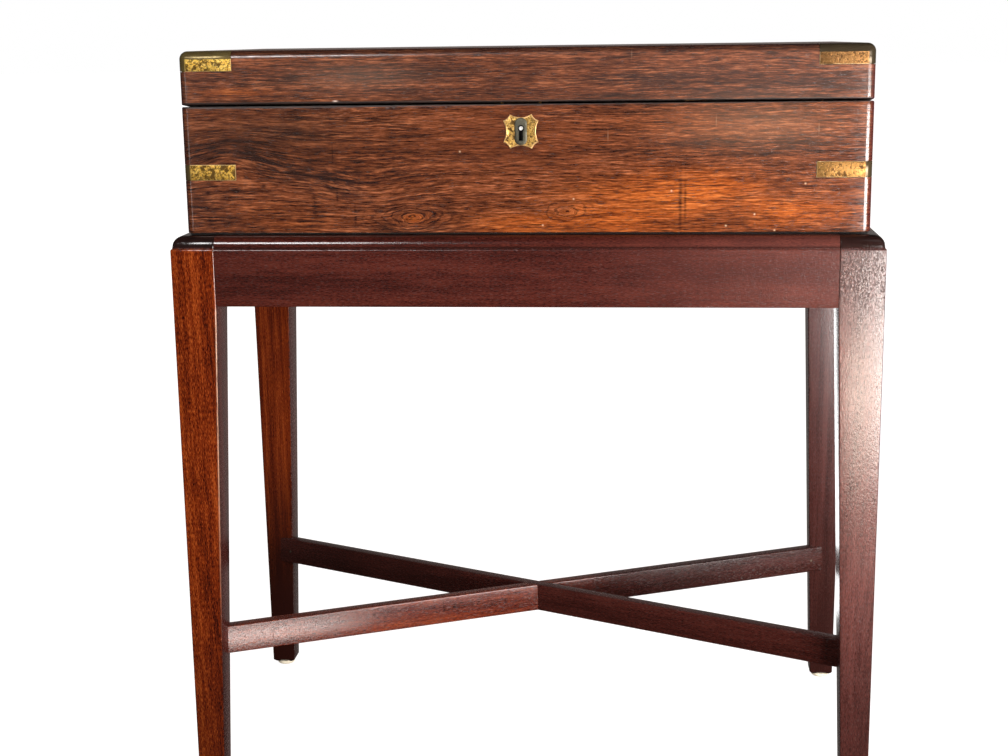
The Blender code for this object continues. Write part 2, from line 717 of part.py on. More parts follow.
lock_case = piece(
    "lock_case",
    trim(lock_block(lock_half, lock_front, lock_back, LOCK_HEIGHT, -OVERRUN), base_top, False),
    brass, lift_axis,
)
chamber = lock_block(chamber_half, chamber_front, chamber_back, chamber_depth, LOCK_PLATE)
key_chamber = lock_block(
    KEY_CHAMBER_WIDTH / 2, chamber_front, chamber_back, LOCK_HEIGHT - LOCK_END, chamber_depth + LOCK_PLATE,
)
cut(lock_case, tool("cut_bolt_chamber", chamber), tool("cut_key_chamber", key_chamber))
slot_half = HOOK_THICKNESS / 2 + HOOK_SLOT_CLEARANCE
for place in hook_places:
    slot = lock_block(slot_half, chamber_front, chamber_back, 2 * LOCK_PLATE, -OVERRUN, place)
    cut(lock_case, tool(f"cut_hook_slot_{place}", slot))
pin_start = (0, lock_back - JOIN, keyhole_z)
pin_bore = rod(pin_start, (0, lock_back + OVERRUN, keyhole_z), LOCK_PIN_RADIUS + JOIN)
bmesh.ops.translate(pin_bore, vec=(0, -OVERRUN / 2, 0), verts=pin_bore.verts)
cut(lock_case, tool("cut_pin_bore", pin_bore), keyhole(0, lock_front - OVERRUN, chamber_front + JOIN))
piece("lock_pin", rod((0, front, keyhole_z), pin_start, LOCK_PIN_RADIUS), steel, lift_axis)
pocket = lock_block(
    lock_half + JOIN, lock_front - JOIN, lock_back + OVERRUN, LOCK_HEIGHT + JOIN, -OVERRUN,
)
cut(base_front, tool("cut_lock_pocket", pocket))
cut(base_front, keyhole(JOIN, front - OVERRUN, lock_front + OVERRUN / 2))

# The bolt: a bar on the chamber's floor with two posts, whose tongues slide through the hooks' eyes
bolt_axis = body_axis("bolt_axis", (0, hook_middle, lock_top - bolt_floor), lift_axis)
bolt_front = hook_middle - BOLT_THICKNESS / 2
bolt_back = hook_middle + BOLT_THICKNESS / 2
tongue_tip = -HOOK_THICKNESS / 2 - BOLT_REST_CLEARANCE
tongue_low = HOOK_EYE_TOP + HOOK_EYE_HEIGHT / 2 + BOLT_TONGUE_HEIGHT / 2
tongue_high = tongue_low - BOLT_TONGUE_HEIGHT
bar_low, bar_high = -bolt_floor, BOLT_BAR_HEIGHT - bolt_floor


def bolt_outline():
    """The bolt seen from the front: a bar whose two posts each end in a tongue to the right."""
    outline = [(hook_places[0] + post_left, bar_low), (hook_places[1] + post_right, bar_low)]
    for place in reversed(hook_places):
        outline += [
            (place + post_right, -tongue_low), (place + tongue_tip, -tongue_low),
            (place + tongue_tip, -tongue_high), (place + post_left, -tongue_high),
        ]
        if place == hook_places[1]:
            outline += [(place + post_left, bar_high), (hook_places[0] + post_right, bar_high)]
    return outline


piece("lock_bolt", plate(bolt_outline(), bolt_front, bolt_back, lock_top), steel, bolt_axis)

# The hook plate in the lid's seam face: two hooks with an eye each reach down into the lock
hook_plate_half = HOOK_SPACING / 2 + HOOK_PLATE_END


def hook_plate_shape(grow):
    bm = block(
        (-hook_plate_half - grow, hook_front - grow, lock_top - OVERRUN),
        (hook_plate_half + grow, hook_front + HOOK_WIDTH + grow, lock_top + 2 * OVERRUN),
    )
    if not grow:
        trim(bm, lid_low, keep_above=True)
    return trim(bm, lid_low + HOOK_PLATE_THICKNESS + grow, keep_above=False)


hook_plate = piece("hook_plate", hook_plate_shape(0), brass, lid_axis)
cut(lid_front, tool("recess_hook_plate", hook_plate_shape(JOIN)))
hook_back = hook_front + HOOK_WIDTH
hook_head = -SEAM_GAP - LOCK_PLATE
for place in hook_places:
    hook = lock_block(HOOK_THICKNESS / 2, hook_front, hook_back, hook_reach, hook_head, place)
    join(hook_plate, tool(f"hook_{place}", hook))
    eye = lock_block(
        HOOK_THICKNESS, hook_middle - HOOK_EYE_WIDTH / 2, hook_middle + HOOK_EYE_WIDTH / 2,
        HOOK_EYE_TOP + HOOK_EYE_HEIGHT, HOOK_EYE_TOP, place,
    )
    cut(hook_plate, tool(f"hook_eye_{place}", eye))


# Escutcheon: eight points joined by hollow curves, with a steel keyhole plate set in its middle
def hollow_curve(start, end, sag):
    """Points from start towards end along a shallow arc that sinks towards the middle by sag."""
    run = Vector(end) - Vector(start)
    inward = Vector((-run.y, run.x)).normalized()
    steps = [i / ARC_STEPS for i in range(ARC_STEPS)]
    return [tuple(Vector(start) + run * t + inward * sag * 4 * t * (1 - t)) for t in steps]


def escutcheon_outline(grow):
    ear = Vector(ESCUTCHEON_EAR) + Vector((grow, grow))
    horn = Vector(ESCUTCHEON_HORN) + Vector((grow, grow))
    corners = [
        (ear.x, -ear.y), (ear.x, ear.y), (horn.x, horn.y), (-horn.x, horn.y),
        (-ear.x, ear.y), (-ear.x, -ear.y), (-horn.x, -horn.y), (horn.x, -horn.y),
    ]
    corner, half_turn = ESCUTCHEON_CORNER_SAG, [ESCUTCHEON_SIDE_SAG, None, ESCUTCHEON_END_SAG, None]
    sags = [corner if sag is None else sag for sag in half_turn * 2]
    outline = []
    for start, end, sag in zip(corners, corners[1:] + corners[:1], sags):
        outline += hollow_curve(start, end, sag)
    return outline


def keyhole_plate_outline(grow):
    half_x, half_z = (size / 2 + grow for size in KEYHOLE_PLATE_SIZE)
    round_x, round_z = half_x - KEYHOLE_PLATE_ROUND - grow, half_z - KEYHOLE_PLATE_ROUND - grow
    outline = []
    for start, (sign_x, sign_z) in enumerate(((1, 1), (-1, 1), (-1, -1), (1, -1))):
        centre = (sign_x * round_x, sign_z * round_z)
        outline += arc(centre, KEYHOLE_PLATE_ROUND + grow, 90 * start, 90 * start + 90)
    return outline


escutcheon_z = box_bottom + ESCUTCHEON_LEVEL
plate_back = front + ESCUTCHEON_DEPTH
escutcheon = piece(
    "escutcheon",
    plate(escutcheon_outline(0), front - ESCUTCHEON_PROUD, plate_back, escutcheon_z),
    brass, lift_axis,
)
plate_hole = plate(keyhole_plate_outline(JOIN), front - OVERRUN, front + OVERRUN, escutcheon_z)
cut(escutcheon, tool("cut_plate_hole", plate_hole))
keyhole_plate = piece(
    "keyhole_plate",
    plate(keyhole_plate_outline(0), front - KEYHOLE_PLATE_PROUD, plate_back, escutcheon_z),
    steel, lift_axis,
)
cut(keyhole_plate, keyhole(0, front - OVERRUN, front + OVERRUN))
escutcheon_recess = plate(escutcheon_outline(JOIN), front - OVERRUN, plate_back + JOIN, escutcheon_z)
cut(base_front, tool("recess_escutcheon", escutcheon_recess))


# Writing flaps: boards let in just inside the seam, each with a leather panel
def writing_flap(name, up, y_front, y_back, body):
    """A flap below (-1) or above (1) the seam between two depths along the slope."""
    near = SEAM_GAP / 2 + FLAP_RECESS
    half = side_inside - JOIN
    board = block((-half, y_front, up * near), (half, y_back, up * (near + FLAP_THICKNESS)))
    flap = piece(f"{name}_flap", on_slope(board), inner_wood, body)
    inner_half, low, high = half - LEATHER_BORDER, y_front + LEATHER_BORDER, y_back - LEATHER_BORDER
    pocket = block(
        (-inner_half - JOIN, low - JOIN, up * (near - OVERRUN)),
        (inner_half + JOIN, high + JOIN, up * (near + LEATHER_THICKNESS + JOIN)),
    )
    cut(flap, tool(f"pocket_{name}_leather", on_slope(pocket)))
    sheet = block((-inner_half, low, up * near), (inner_half, high, up * (near + LEATHER_THICKNESS)))
    piece(f"{name}_leather", on_slope(sheet), leather, body)
    return flap


flap_near = SEAM_GAP / 2 + FLAP_RECESS
flap_far = flap_near + FLAP_THICKNESS
tray_back = front_inside + TRAY_DEPTH
writing_flap(
    "base", -1, slope_y(tray_back, -flap_far), slope_y(back_inside, -flap_near) - JOIN, lift_axis,
)
writing_flap(
    "lid", 1, slope_y(front_inside, flap_near) + JOIN, slope_y(back_inside, flap_far) - JOIN, lid_axis,
)

# Flap catch: a brass slide in the lid's seam face that reaches over the lid flap's edge
catch_inside = slope_y(front_inside, lid_low)
catch_point = slope_matrix @ Vector((0, catch_inside, lid_low))
catch_axis = body_axis("catch_axis", catch_point, lid_axis)
catch_x = side / 2


def catch_block(grow, travel):
    start = catch_inside + CATCH_OVERLAP - CATCH_LENGTH - travel - grow
    low = lid_low - (grow and OVERRUN)
    return block(
        (catch_x - CATCH_WIDTH / 2 - grow, start, low),
        (catch_x + CATCH_WIDTH / 2 + grow, catch_inside + CATCH_OVERLAP, lid_low + CATCH_THICKNESS + grow),
    )


piece("flap_catch", on_slope(catch_block(0, 0)), brass, catch_axis)
cut(lid_front, tool("recess_flap_catch", on_slope(catch_block(JOIN, CATCH_TRAVEL))))

# Tray compartment: dividers, a scooped pen tray on steps in them, and two ink bottles
divider_front = tray_back
divider_low = floor_top + JOIN
under_flap = -(flap_far + JOIN)
tray_divider = block(
    (-side_inside + JOIN, divider_front, divider_low), (side_inside - JOIN, divider_front + DIVIDER, tallest),
)
piece("tray_divider", trim(tray_divider, under_flap, keep_above=False), inner_wood, lift_axis)

tray_top = seam_z(tray_back, base_top) - PEN_TRAY_DROP
tray_low = tray_top - PEN_TRAY_THICKNESS
well_inside = side_inside - WELL_WIDTH
tray_opening = well_inside - DIVIDER
tray_half = tray_opening + PEN_TRAY_SEAT - JOIN
tray_y = (front_inside + JOIN, divider_front - JOIN)
for hand, right in (("left", -1), ("right", 1)):
    board = block(
        (right * tray_opening, tray_y[0], divider_low), (right * well_inside, tray_y[1], tallest),
    )
    trim(board, base_top - DIVIDER_DROP, keep_above=False)
    divider = piece(f"well_divider_{hand}", board, inner_wood, lift_axis)
    seat = block(
        (right * (tray_opening - OVERRUN), tray_y[0] - OVERRUN, tray_low - JOIN),
        (right * (tray_opening + PEN_TRAY_SEAT), tray_y[1] + OVERRUN, tallest + OVERRUN),
    )
    cut(divider, tool(f"seat_{hand}", seat))

pen_tray = piece(
    "pen_tray", block((-tray_half, tray_y[0], tray_low), (tray_half, tray_y[1], tray_top)),
    inner_wood, lift_axis,
)
scoop_y = (tray_y[0] + tray_y[1]) / 2
scoop_z = tray_top - SCOOP_DEPTH + SCOOP_RADIUS
scoop_half = tray_half - PEN_TRAY_END
scoop = rod((-scoop_half, scoop_y, scoop_z), (scoop_half, scoop_y, scoop_z), SCOOP_RADIUS)
cut(pen_tray, tool("cut_scoop", scoop))

neck_top = INKWELL_HEIGHT + INKWELL_NECK_HEIGHT
cap_bore = INKWELL_NECK_RADIUS + JOIN
cap_radius = cap_bore + INK_CAP_WALL
cap_low = INKWELL_HEIGHT + JOIN
cap_top = cap_low + INK_CAP_HEIGHT
for hand, right in (("left", -1), ("right", 1)):
    place = Vector((right * (side_inside - WELL_WIDTH / 2), scoop_y, divider_low))
    half = INKWELL_SIZE / 2
    bottle = block(place - Vector((half, half, 0)), place + Vector((half, half, INKWELL_HEIGHT)))
    round_edges(bottle, INKWELL_CORNER, lambda middle, along: upright(along), steps=3)
    inkwell = piece(f"inkwell_{hand}", bottle, glass, lift_axis)
    neck_foot = place + Vector((0, 0, INKWELL_HEIGHT - OVERRUN / 2))
    join(
        inkwell,
        tool(f"neck_{hand}", rod(neck_foot, place + Vector((0, 0, neck_top)), INKWELL_NECK_RADIUS)),
    )
    bore_foot = place + Vector((0, 0, neck_top - INKWELL_BORE_DEPTH))
    bore_head = place + Vector((0, 0, neck_top + OVERRUN))
    cut(inkwell, tool(f"ink_bore_{hand}", rod(bore_foot, bore_head, INKWELL_BORE_RADIUS)))
    cap = [(0, cap_top)]
    cap += arc((cap_radius - INK_CAP_ROUND, cap_top - INK_CAP_ROUND), INK_CAP_ROUND, 90, 0)
    cap += [(cap_radius, cap_low), (cap_bore, cap_low), (cap_bore, neck_top + JOIN), (0, neck_top + JOIN)]
    turned(f"inkwell_cap_{hand}", cap, place, brass, lift_axis)
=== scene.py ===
"""The looks of a brass-bound lap desk on its mahogany stand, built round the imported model."""

import math

import bmesh
import bpy
import numpy as np
from mathutils import Matrix, Vector


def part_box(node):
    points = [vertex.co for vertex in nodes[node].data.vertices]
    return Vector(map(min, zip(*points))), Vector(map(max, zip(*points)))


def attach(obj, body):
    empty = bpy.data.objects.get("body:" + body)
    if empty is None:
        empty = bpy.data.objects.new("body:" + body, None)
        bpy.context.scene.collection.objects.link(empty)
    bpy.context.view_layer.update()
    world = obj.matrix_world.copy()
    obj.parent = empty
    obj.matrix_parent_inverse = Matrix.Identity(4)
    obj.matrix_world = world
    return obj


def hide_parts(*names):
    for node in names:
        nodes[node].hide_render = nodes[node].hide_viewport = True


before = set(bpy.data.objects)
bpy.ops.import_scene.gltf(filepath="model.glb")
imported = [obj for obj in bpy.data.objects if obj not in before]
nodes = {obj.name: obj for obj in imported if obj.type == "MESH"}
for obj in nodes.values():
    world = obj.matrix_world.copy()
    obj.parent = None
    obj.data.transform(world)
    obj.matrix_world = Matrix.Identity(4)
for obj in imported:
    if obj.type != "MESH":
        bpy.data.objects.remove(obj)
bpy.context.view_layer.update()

# Stand legs: square mahogany, plumb outside, with the two inner faces tapering below the rails.
# The foot is chamfered. The top carries the stand's step and rounded edge on its two outer faces.
STAND_X, STAND_Y, STAND_TOP = 0.2645, 0.13775, 0.4445
RAIL_BOTTOM, RAIL_FACE_TOP = 0.3917, 0.4351
LEG_TOP, LEG_FOOT, LEG_BOTTOM, FOOT_CHAMFER = 0.0332, 0.0204, 0.0038, 0.002
EDGE_STEP, EDGE_ROUND, EDGE_ARRIS = 0.001, 0.0075, 0.0015
LEG_ARRIS, LEG_CORNER = 0.0009, 0.0030
INNER_SIDE_COLUMNS = (13, 14, 15, 16)
RED_WOOD, SHADED_WOOD, WASHED_WOOD, END_GRAIN = 0.05, 0.85, 1.02, 2.0
HANDS = {"left": -1, "right": 1}
ENDS = {"front": -1, "rear": 1}
CORNERS = [(f"{end}_{hand}", rear, right) for end, rear in ENDS.items() for hand, right in HANDS.items()]


class Tone:
    """A shader value. Arithmetic on it adds Math nodes; node() adds any other node to its tree."""

    def __init__(self, tree, socket=None):
        self.tree = tree
        self.socket = socket

    def node(self, kind, settings, sockets, output=0):
        """Adds a node, sets its settings, then its sockets by name or number, and wraps one output."""
        made = self.tree.nodes.new("ShaderNode" + kind)
        for key, value in settings.items():
            if key == "stops":
                elements = made.color_ramp.elements
                elements[0].position, elements[1].position = value[0][0], value[-1][0]
                for place, _ in value[1:-1]:
                    elements.new(place)
                for element, (_, color) in zip(elements, value):
                    element.color = (*color, 1)
            else:
                setattr(made, key, value)
        for key, value in sockets.items():
            if isinstance(value, Tone):
                self.tree.links.new(value.socket, made.inputs[key])
            else:
                made.inputs[key].default_value = value
        return Tone(self.tree, made.outputs[output])

    def math(self, operation, first, second=0.0):
        return self.node("Math", {"operation": operation}, {0: first, 1: second})

    def __add__(self, other):
        return self.math("ADD", self, other)

    def __sub__(self, other):
        return self.math("SUBTRACT", self, other)

    def __rsub__(self, other):
        return self.math("SUBTRACT", other, self)

    def __mul__(self, other):
        return self.math("MULTIPLY", self, other)

    def __truediv__(self, other):
        return self.math("DIVIDE", self, other)

    def __pow__(self, other):
        return self.math("POWER", self, other)

    def __abs__(self):
        return self.math("ABSOLUTE", self)

    __radd__ = __add__
    __rmul__ = __mul__


def new_finish(name):
    """A new material: the material, its Principled shader, and its Object coordinates as a Tone."""
    made = bpy.data.materials.new(name)
    made.use_nodes = True
    place = Tone(made.node_tree).node("TexCoord", {}, {}, output=3)
    return made, made.node_tree.nodes["Principled BSDF"], place


def grain_of(place):
    """The grain vector that a piece carries on its points."""
    return place.node("Attribute", {"attribute_name": "grain"}, {}, output=1)


def settle(shader, sockets):
    """Links the varying values to the shader and sets the constant ones on its own sockets."""
    for key, value in sockets.items():
        if isinstance(value, Tone):
            value.tree.links.new(value.socket, shader.inputs[key])
        else:
            shader.inputs[key].default_value = value


def smooth(value, low, high):
    """0 below low, 1 above high, and a smooth step between."""
    settings = {"interpolation_type": "SMOOTHSTEP"}
    return value.node("MapRange", settings, {"Value": value, "From Min": low, "From Max": high})


def mix(share, first, second):
    """Two colours mixed by a share."""
    return share.node("Mix", {"data_type": "RGBA"}, {0: share, 6: first, 7: second}, output=2)


def ramp(figure, stops):
    """The colour at a figure, between stops of (figure, colour)."""
    return figure.node("ValToRGB", {"stops": stops}, {0: figure})


def bell(value):
    """e to the minus square of a value: 1 at nothing, fading to both sides."""
    return value.math("POWER", math.e, 0 - value * value)


def noise(vector, waves, detail=3.0, rough=0.55):
    """Fractal noise about 0.5. waves is so many a metre, one number or one for each axis."""
    if isinstance(waves, tuple):
        vector, waves = vector.node("VectorMath", {"operation": "MULTIPLY"}, {0: vector, 1: waves}), 1
    sockets = {"Vector": vector, "Scale": waves, "Detail": detail, "Roughness": rough}
    return vector.node("TexNoise", {}, sockets)


def split(vector):
    """The three numbers of a vector."""
    first = vector.node("SeparateXYZ", {}, {0: vector})
    return [Tone(first.tree, socket) for socket in first.socket.node.outputs]


def bump(height, depth):
    """A surface normal from a height in 0 to 1 that stands for depth metres."""
    return height.node("Bump", {}, {"Strength": 1.0, "Distance": depth, "Height": height})


def lattice(rows, columns, wrap_rows=False, wrap_columns=False):
    """Quads between neighbours on a grid of points numbered row by row."""
    row = np.arange(rows if wrap_rows else rows - 1)[:, None]
    column = np.arange(columns if wrap_columns else columns - 1)[None, :]
    up, over = (row + 1) % rows, (column + 1) % columns
    corners = [row * columns + column, row * columns + over, up * columns + over, up * columns + column]
    return np.stack(np.broadcast_arrays(*corners), axis=-1).reshape(-1, 4)


def tube(rows, columns):
    """Faces of a stack of rings: quads between neighbours, and one face over each open end."""
    ends = [list(range(columns)), list(range((rows - 1) * columns, rows * columns))]
    return lattice(rows, columns, wrap_columns=True).tolist() + ends


def put(name, points, faces, materials, grain=None, kinds=None, crease=32):
    """Puts whole arrays of points and faces into one mesh, turned outwards, at the origin.

    grain is a vector on each point, along and across the wood and a third value; kinds picks materials.
    """
    mesh = bpy.data.meshes.new(name)
    mesh.from_pydata(np.reshape(points, (-1, 3)).tolist(), [], faces)
    if grain is not None:
        flow = mesh.attributes.new("grain", "FLOAT_VECTOR", "POINT")
        flow.data.foreach_set("vector", np.reshape(grain, -1).astype(np.float32))
    if kinds is not None:
        mesh.polygons.foreach_set("material_index", np.asarray(kinds, np.int32))
    shape = bmesh.new()
    shape.from_mesh(mesh)
    bmesh.ops.recalc_face_normals(shape, faces=shape.faces)
    shape.to_mesh(mesh)
    shape.free()
    for material in materials:
        mesh.materials.append(material)
    mesh.shade_smooth()
    mesh.set_sharp_from_angle(angle=math.radians(crease))
    made = bpy.data.objects.new(name, mesh)
    bpy.context.scene.collection.objects.link(made)
    return made


def ring(x_low, x_high, y_low, y_high, radius, steps=4):
    """Rounded rectangles, one a row: a quarter circle of radius round each corner's own centre."""
    turn = np.linspace(0, np.pi / 2, steps + 1)[None, :]
    x_low, x_high, y_low, y_high = (np.asarray(edge)[:, None] for edge in (x_low, x_high, y_low, y_high))
    parts = []
    for corner, (x_edge, y_edge, x_sign, y_sign) in enumerate((
        (x_high, y_low, 1, -1), (x_high, y_high, 1, 1), (x_low, y_high, -1, 1), (x_low, y_low, -1, -1),
    )):
        bend = radius[:, corner][:, None]
        angle = turn + (corner - 1) * np.pi / 2
        x = x_edge - x_sign * bend + bend * np.cos(angle)
        y = y_edge - y_sign * bend + bend * np.sin(angle)
        parts.append(np.stack([x, y], axis=-1))
    return np.concatenate(parts, axis=1)


def round_over(steps=7):
    """The stand's top edge as (inset, height): a worn step, a short riser and a quarter circle.

    The step is a quarter of an ellipse as wide as the step and as tall as its worn arris.
    """
    turn = np.linspace(0, np.pi / 2, steps)
    worn, fall = EDGE_STEP * (1 - np.cos(turn)), EDGE_ARRIS * (1 - np.sin(turn))
    inset = EDGE_STEP + EDGE_ROUND * (1 - np.cos(turn))
    height = STAND_TOP - EDGE_ROUND + EDGE_ROUND * np.sin(turn)
    step = np.stack([worn, RAIL_FACE_TOP - fall], axis=-1)
    return np.concatenate([step, np.stack([inset, height], axis=-1)])


def leg_points():
    """One leg in the quarter where x and y are positive: rounded squares stacked up its height.

    The outer inset follows foot chamfer, plumb face and rounded top; the inner face tapers in a line.
    """
    chamfer_top = LEG_BOTTOM + FOOT_CHAMFER
    taper = np.linspace(chamfer_top, RAIL_BOTTOM, 24)
    head = np.linspace(RAIL_BOTTOM, RAIL_FACE_TOP - EDGE_ARRIS, 5)[1:-1]
    body = np.concatenate([[LEG_BOTTOM], taper, head])
    edge = round_over()
    level = np.concatenate([body, edge[:, 1]])
    outer = np.concatenate([np.zeros(len(body)), edge[:, 0]])
    share = np.clip((level - LEG_BOTTOM) / (RAIL_BOTTOM - LEG_BOTTOM), 0, 1)
    inner = LEG_FOOT + (LEG_TOP - LEG_FOOT) * share
    outer[0] += FOOT_CHAMFER
    inner[0] -= FOOT_CHAMFER
    radius = np.full((len(level), 4), LEG_ARRIS)
    radius[-len(edge) // 2:, 1] = LEG_CORNER
    flat = ring(STAND_X - inner, STAND_X - outer, STAND_Y - inner, STAND_Y - outer, radius)
    tall = np.broadcast_to(level[:, None, None], (*flat.shape[:2], 1))
    return np.concatenate([flat, tall], axis=-1)


def around(points):
    """Distance round each row of a stack of rings, from its first point."""
    step = np.linalg.norm(np.diff(points, axis=1), axis=-1)
    return np.concatenate([np.zeros((len(points), 1)), np.cumsum(step, axis=1)], axis=1)


def mahogany_finish():
    """Red-brown mahogany: soft ribbon bands, short dashes and dark pores along it, a pebbled varnish.

    The third grain value is 0 for orange-red wood, 1 for plum-brown and 2 for nearly black end grain; the
    plum-brown on the legs' inner faces is painted shade.
    """
    made, shader, place = new_finish("mahogany")
    grain = grain_of(place)
    depth = split(grain)[2]
    x_place, y_place, z_place = split(place)
    bands = noise(grain, (4, 55, 0), 2)
    streaks = noise(grain, (34, 420, 0), 3, 0.6)
    dashes = noise(grain, (330, 2000, 0), 2, 0.6)
    figure = bands * 0.26 + streaks * 0.26 + dashes * 0.50 - 0.01
    color = ramp(figure, [
        (0.40, (0.015, 0.0016, 0.0006)), (0.46, (0.072, 0.0078, 0.0012)),
        (0.53, (0.152, 0.0190, 0.0024)), (0.61, (0.340, 0.0680, 0.0110)),
    ])
    plum = ramp(figure, [
        (0.40, (0.026, 0.0048, 0.0035)), (0.50, (0.063, 0.0122, 0.0087)), (0.61, (0.132, 0.0300, 0.0218)),
    ])
    stained = ramp(figure, [
        (0.40, (0.022, 0.0060, 0.0052)), (0.50, (0.050, 0.0150, 0.0130)), (0.61, (0.105, 0.0360, 0.0312)),
    ])
    color = mix(smooth(depth, 0.0, 1.0), color, plum)
    color = mix(smooth(depth, 0.78, 0.82) * 0.40, color, (0.010, 0.0020, 0.0016, 1))
    color = mix(smooth(depth, 0.85, 1.1), color, stained)
    # painted light: the rails are painted paler and pinker towards the right, where more light falls
    rail_painted_light = smooth(x_place, 0.02, 0.22) * smooth(depth, 0.79, 0.81) * smooth(depth, 0.86, 0.83)
    color = mix(rail_painted_light * 0.26, color, (0.150, 0.0560, 0.0450, 1))
    pore = smooth(noise(grain, (260, 2500, 0), 1), 0.58, 0.70)
    color = mix(pore * 0.6, color, (0.012, 0.0025, 0.0015, 1))
    color = mix(smooth(depth, 1.2, 1.8) * 0.9, color, (0.007, 0.0035, 0.0030, 1))
    # painted shade: the feet and the rear legs are darkened, and a dark line lies just above the step
    low_rear = smooth(y_place, -0.02, 0.06) * smooth(z_place, 0.24, 0.14)
    rear_leg_shade = smooth(y_place, 0.04, 0.09) * smooth(depth, 0.6, 0.3)
    low_rear_shade = smooth(z_place, 0.21, 0.02) * 0.45 + low_rear * 0.30 + rear_leg_shade * 0.33
    color = mix(low_rear_shade, color, (0.014, 0.0026, 0.0016, 1))
    # painted shade in the corner just above the step
    over_step = (z_place - RAIL_FACE_TOP - 0.0009) * (1 / 0.0010)
    color = mix(bell(over_step) * 0.7, color, (0.010, 0.0035, 0.0028, 1))
    # a painted highlight: a pale line down the inner arris of the front left leg
    taper = (LEG_TOP - LEG_FOOT) / (RAIL_BOTTOM - LEG_BOTTOM)
    inner_edge = STAND_X + x_place - LEG_FOOT - (z_place - LEG_BOTTOM) * taper
    arris = smooth(abs(inner_edge), 0.0013, 0.0004) * smooth(y_place + STAND_Y, 0.0012, 0.0003)
    arris = arris * smooth(z_place, 0.3925, 0.3860) * smooth(z_place, 0.10, 0.32)
    arris = arris * smooth(noise(grain, (40, 900, 0), 2), 0.25, 0.50)
    color = mix(arris * 0.6, color, (0.62, 0.36, 0.23, 1))
    # varnish: pebbled, smoother on the rounded edge, crazed on the washed leg and one bar's end
    pebbles = noise(place, (760, 760, 420), 2)
    edge = smooth(z_place, RAIL_FACE_TOP, RAIL_FACE_TOP + 0.001)
    worn = smooth(depth, 0.1, 0.7)
    rough = (0.17 + 0.10 * noise(place, 60, 3) + 0.14 * pore) * (1 - 0.35 * edge) * (0.62 + 0.38 * worn)
    on_front = smooth(y_place + STAND_Y, 0.0020, 0.0005) * (1 - edge)
    bar_end = smooth(x_place, -0.09, -0.17) * smooth(depth, 0.44, 0.49) * smooth(depth, 0.62, 0.52)
    crazed = smooth(z_place, 0.320, 0.420) * smooth(depth, 0.98, 1.02) * on_front + bar_end * 0.3
    fleck = noise(place, (1000, 1000, 620), 3, 0.65) + 0.12 * crazed
    fleck = smooth(fleck - 0.05 * smooth(x_place, 0.222, 0.262), 0.57, 0.63) * crazed
    color = mix(fleck * 0.75, color, (0.022, 0.0080, 0.0065, 1))
    rough = rough + 0.50 * fleck
    grit = noise(place, (880, 880, 560), 3, 0.65) * crazed * 4.0
    relief = 1.4 * pebbles + 0.4 * (1 - pore) + 0.3 * dashes + grit
    skin = bump(relief * (1 - 0.75 * edge) * (0.55 + 0.45 * worn), 0.000075)
    settle(shader, {"Base Color": color, "Roughness": rough, "Normal": skin, "Specular IOR Level": 0.5})
    return made


mahogany = mahogany_finish()
washed_legs = []
leg_shape = leg_points()
leg_faces = tube(*leg_shape.shape[:2])
# of a ring's twenty columns these four lie on the face towards the stand's middle line
inner_side = np.isin(np.arange(leg_shape.shape[1]), INNER_SIDE_COLUMNS)
on_top = leg_shape[..., 2] > RAIL_FACE_TOP + 0.0001
# the inner faces take the darker plum-brown as painted shade
leg_depth = np.where(on_top, END_GRAIN, np.where(inner_side, SHADED_WOOD, 0.0))
leg_grain = np.stack([leg_shape[..., 2], around(leg_shape), leg_depth], axis=-1)
for corner, rear, right in CORNERS:
    flow = leg_grain + [rear * 1.7 + right * 0.6, right * 0.31, RED_WOOD]
    if right > 0:
        flow[..., 2] = np.maximum(flow[..., 2], WASHED_WOOD)
    leg = put(f"stand_leg_{corner}", leg_shape * (right, rear, 1), leg_faces, [mahogany], grain=flow)
    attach(leg, "stand")
    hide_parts(f"leg_{corner}")
    washed_legs += [leg] if right > 0 else []

# Stand rails: four mahogany boards tenoned flush into the legs, with the same step and rounded edge
# worked along the top. A hairline shows where each shoulder meets its leg.
RAIL_THICKNESS, RAIL_ARRIS, SHOULDER_GAP, RAIL_WOOD = 0.020, 0.0006, 0.00012, 0.82


def rail_profile():
    """A rail's section as (inset from the outer face, height), anticlockwise from the outer foot."""
    inner = RAIL_THICKNESS
    foot = [(RAIL_ARRIS, RAIL_BOTTOM), (RAIL_ARRIS * 0.3, RAIL_BOTTOM + RAIL_ARRIS * 0.3)]
    face = [(0, height) for height in np.linspace(RAIL_BOTTOM + RAIL_ARRIS, RAIL_FACE_TOP - 2 * EDGE_ARRIS, 6)]
    back = [
        (inner - RAIL_ARRIS, STAND_TOP), (inner, STAND_TOP - RAIL_ARRIS),
        (inner, RAIL_BOTTOM + RAIL_ARRIS), (inner - RAIL_ARRIS, RAIL_BOTTOM),
    ]
    return np.concatenate([foot, face, round_over(), back])


def carry(profile, stations):
    """A profile carried straight along stations: rows of (station, inset, height)."""
    inset, height = profile.T
    return np.stack(np.broadcast_arrays(stations[:, None], inset[None, :], height[None, :]), axis=-1)


rail_section = rail_profile()
for name, half, face, facing in (
    ("front", STAND_X, STAND_Y, -1), ("rear", STAND_X, STAND_Y, 1),
    ("left", STAND_Y, STAND_X, -1), ("right", STAND_Y, STAND_X, 1),
):
    reach = half - LEG_TOP - SHOULDER_GAP
    sweep = carry(rail_section, np.linspace(-reach, reach, 25))
    outward = facing * (face - sweep[..., 1])
    ways = [sweep[..., 0], outward] if name in ENDS else [outward, sweep[..., 0]]
    girth = around(np.stack([np.zeros_like(outward), sweep[..., 1], sweep[..., 2]], axis=-1))
    flow = np.stack([sweep[..., 0] + 4 * face + facing, girth, np.full(girth.shape, RAIL_WOOD)], axis=-1)
    rail_points = np.stack([*ways, sweep[..., 2]], axis=-1)
    rail = put(f"stand_rail_{name}", rail_points, tube(*girth.shape), [mahogany], grain=flow)
    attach(rail, "stand")
    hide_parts(f"rail_{name}")

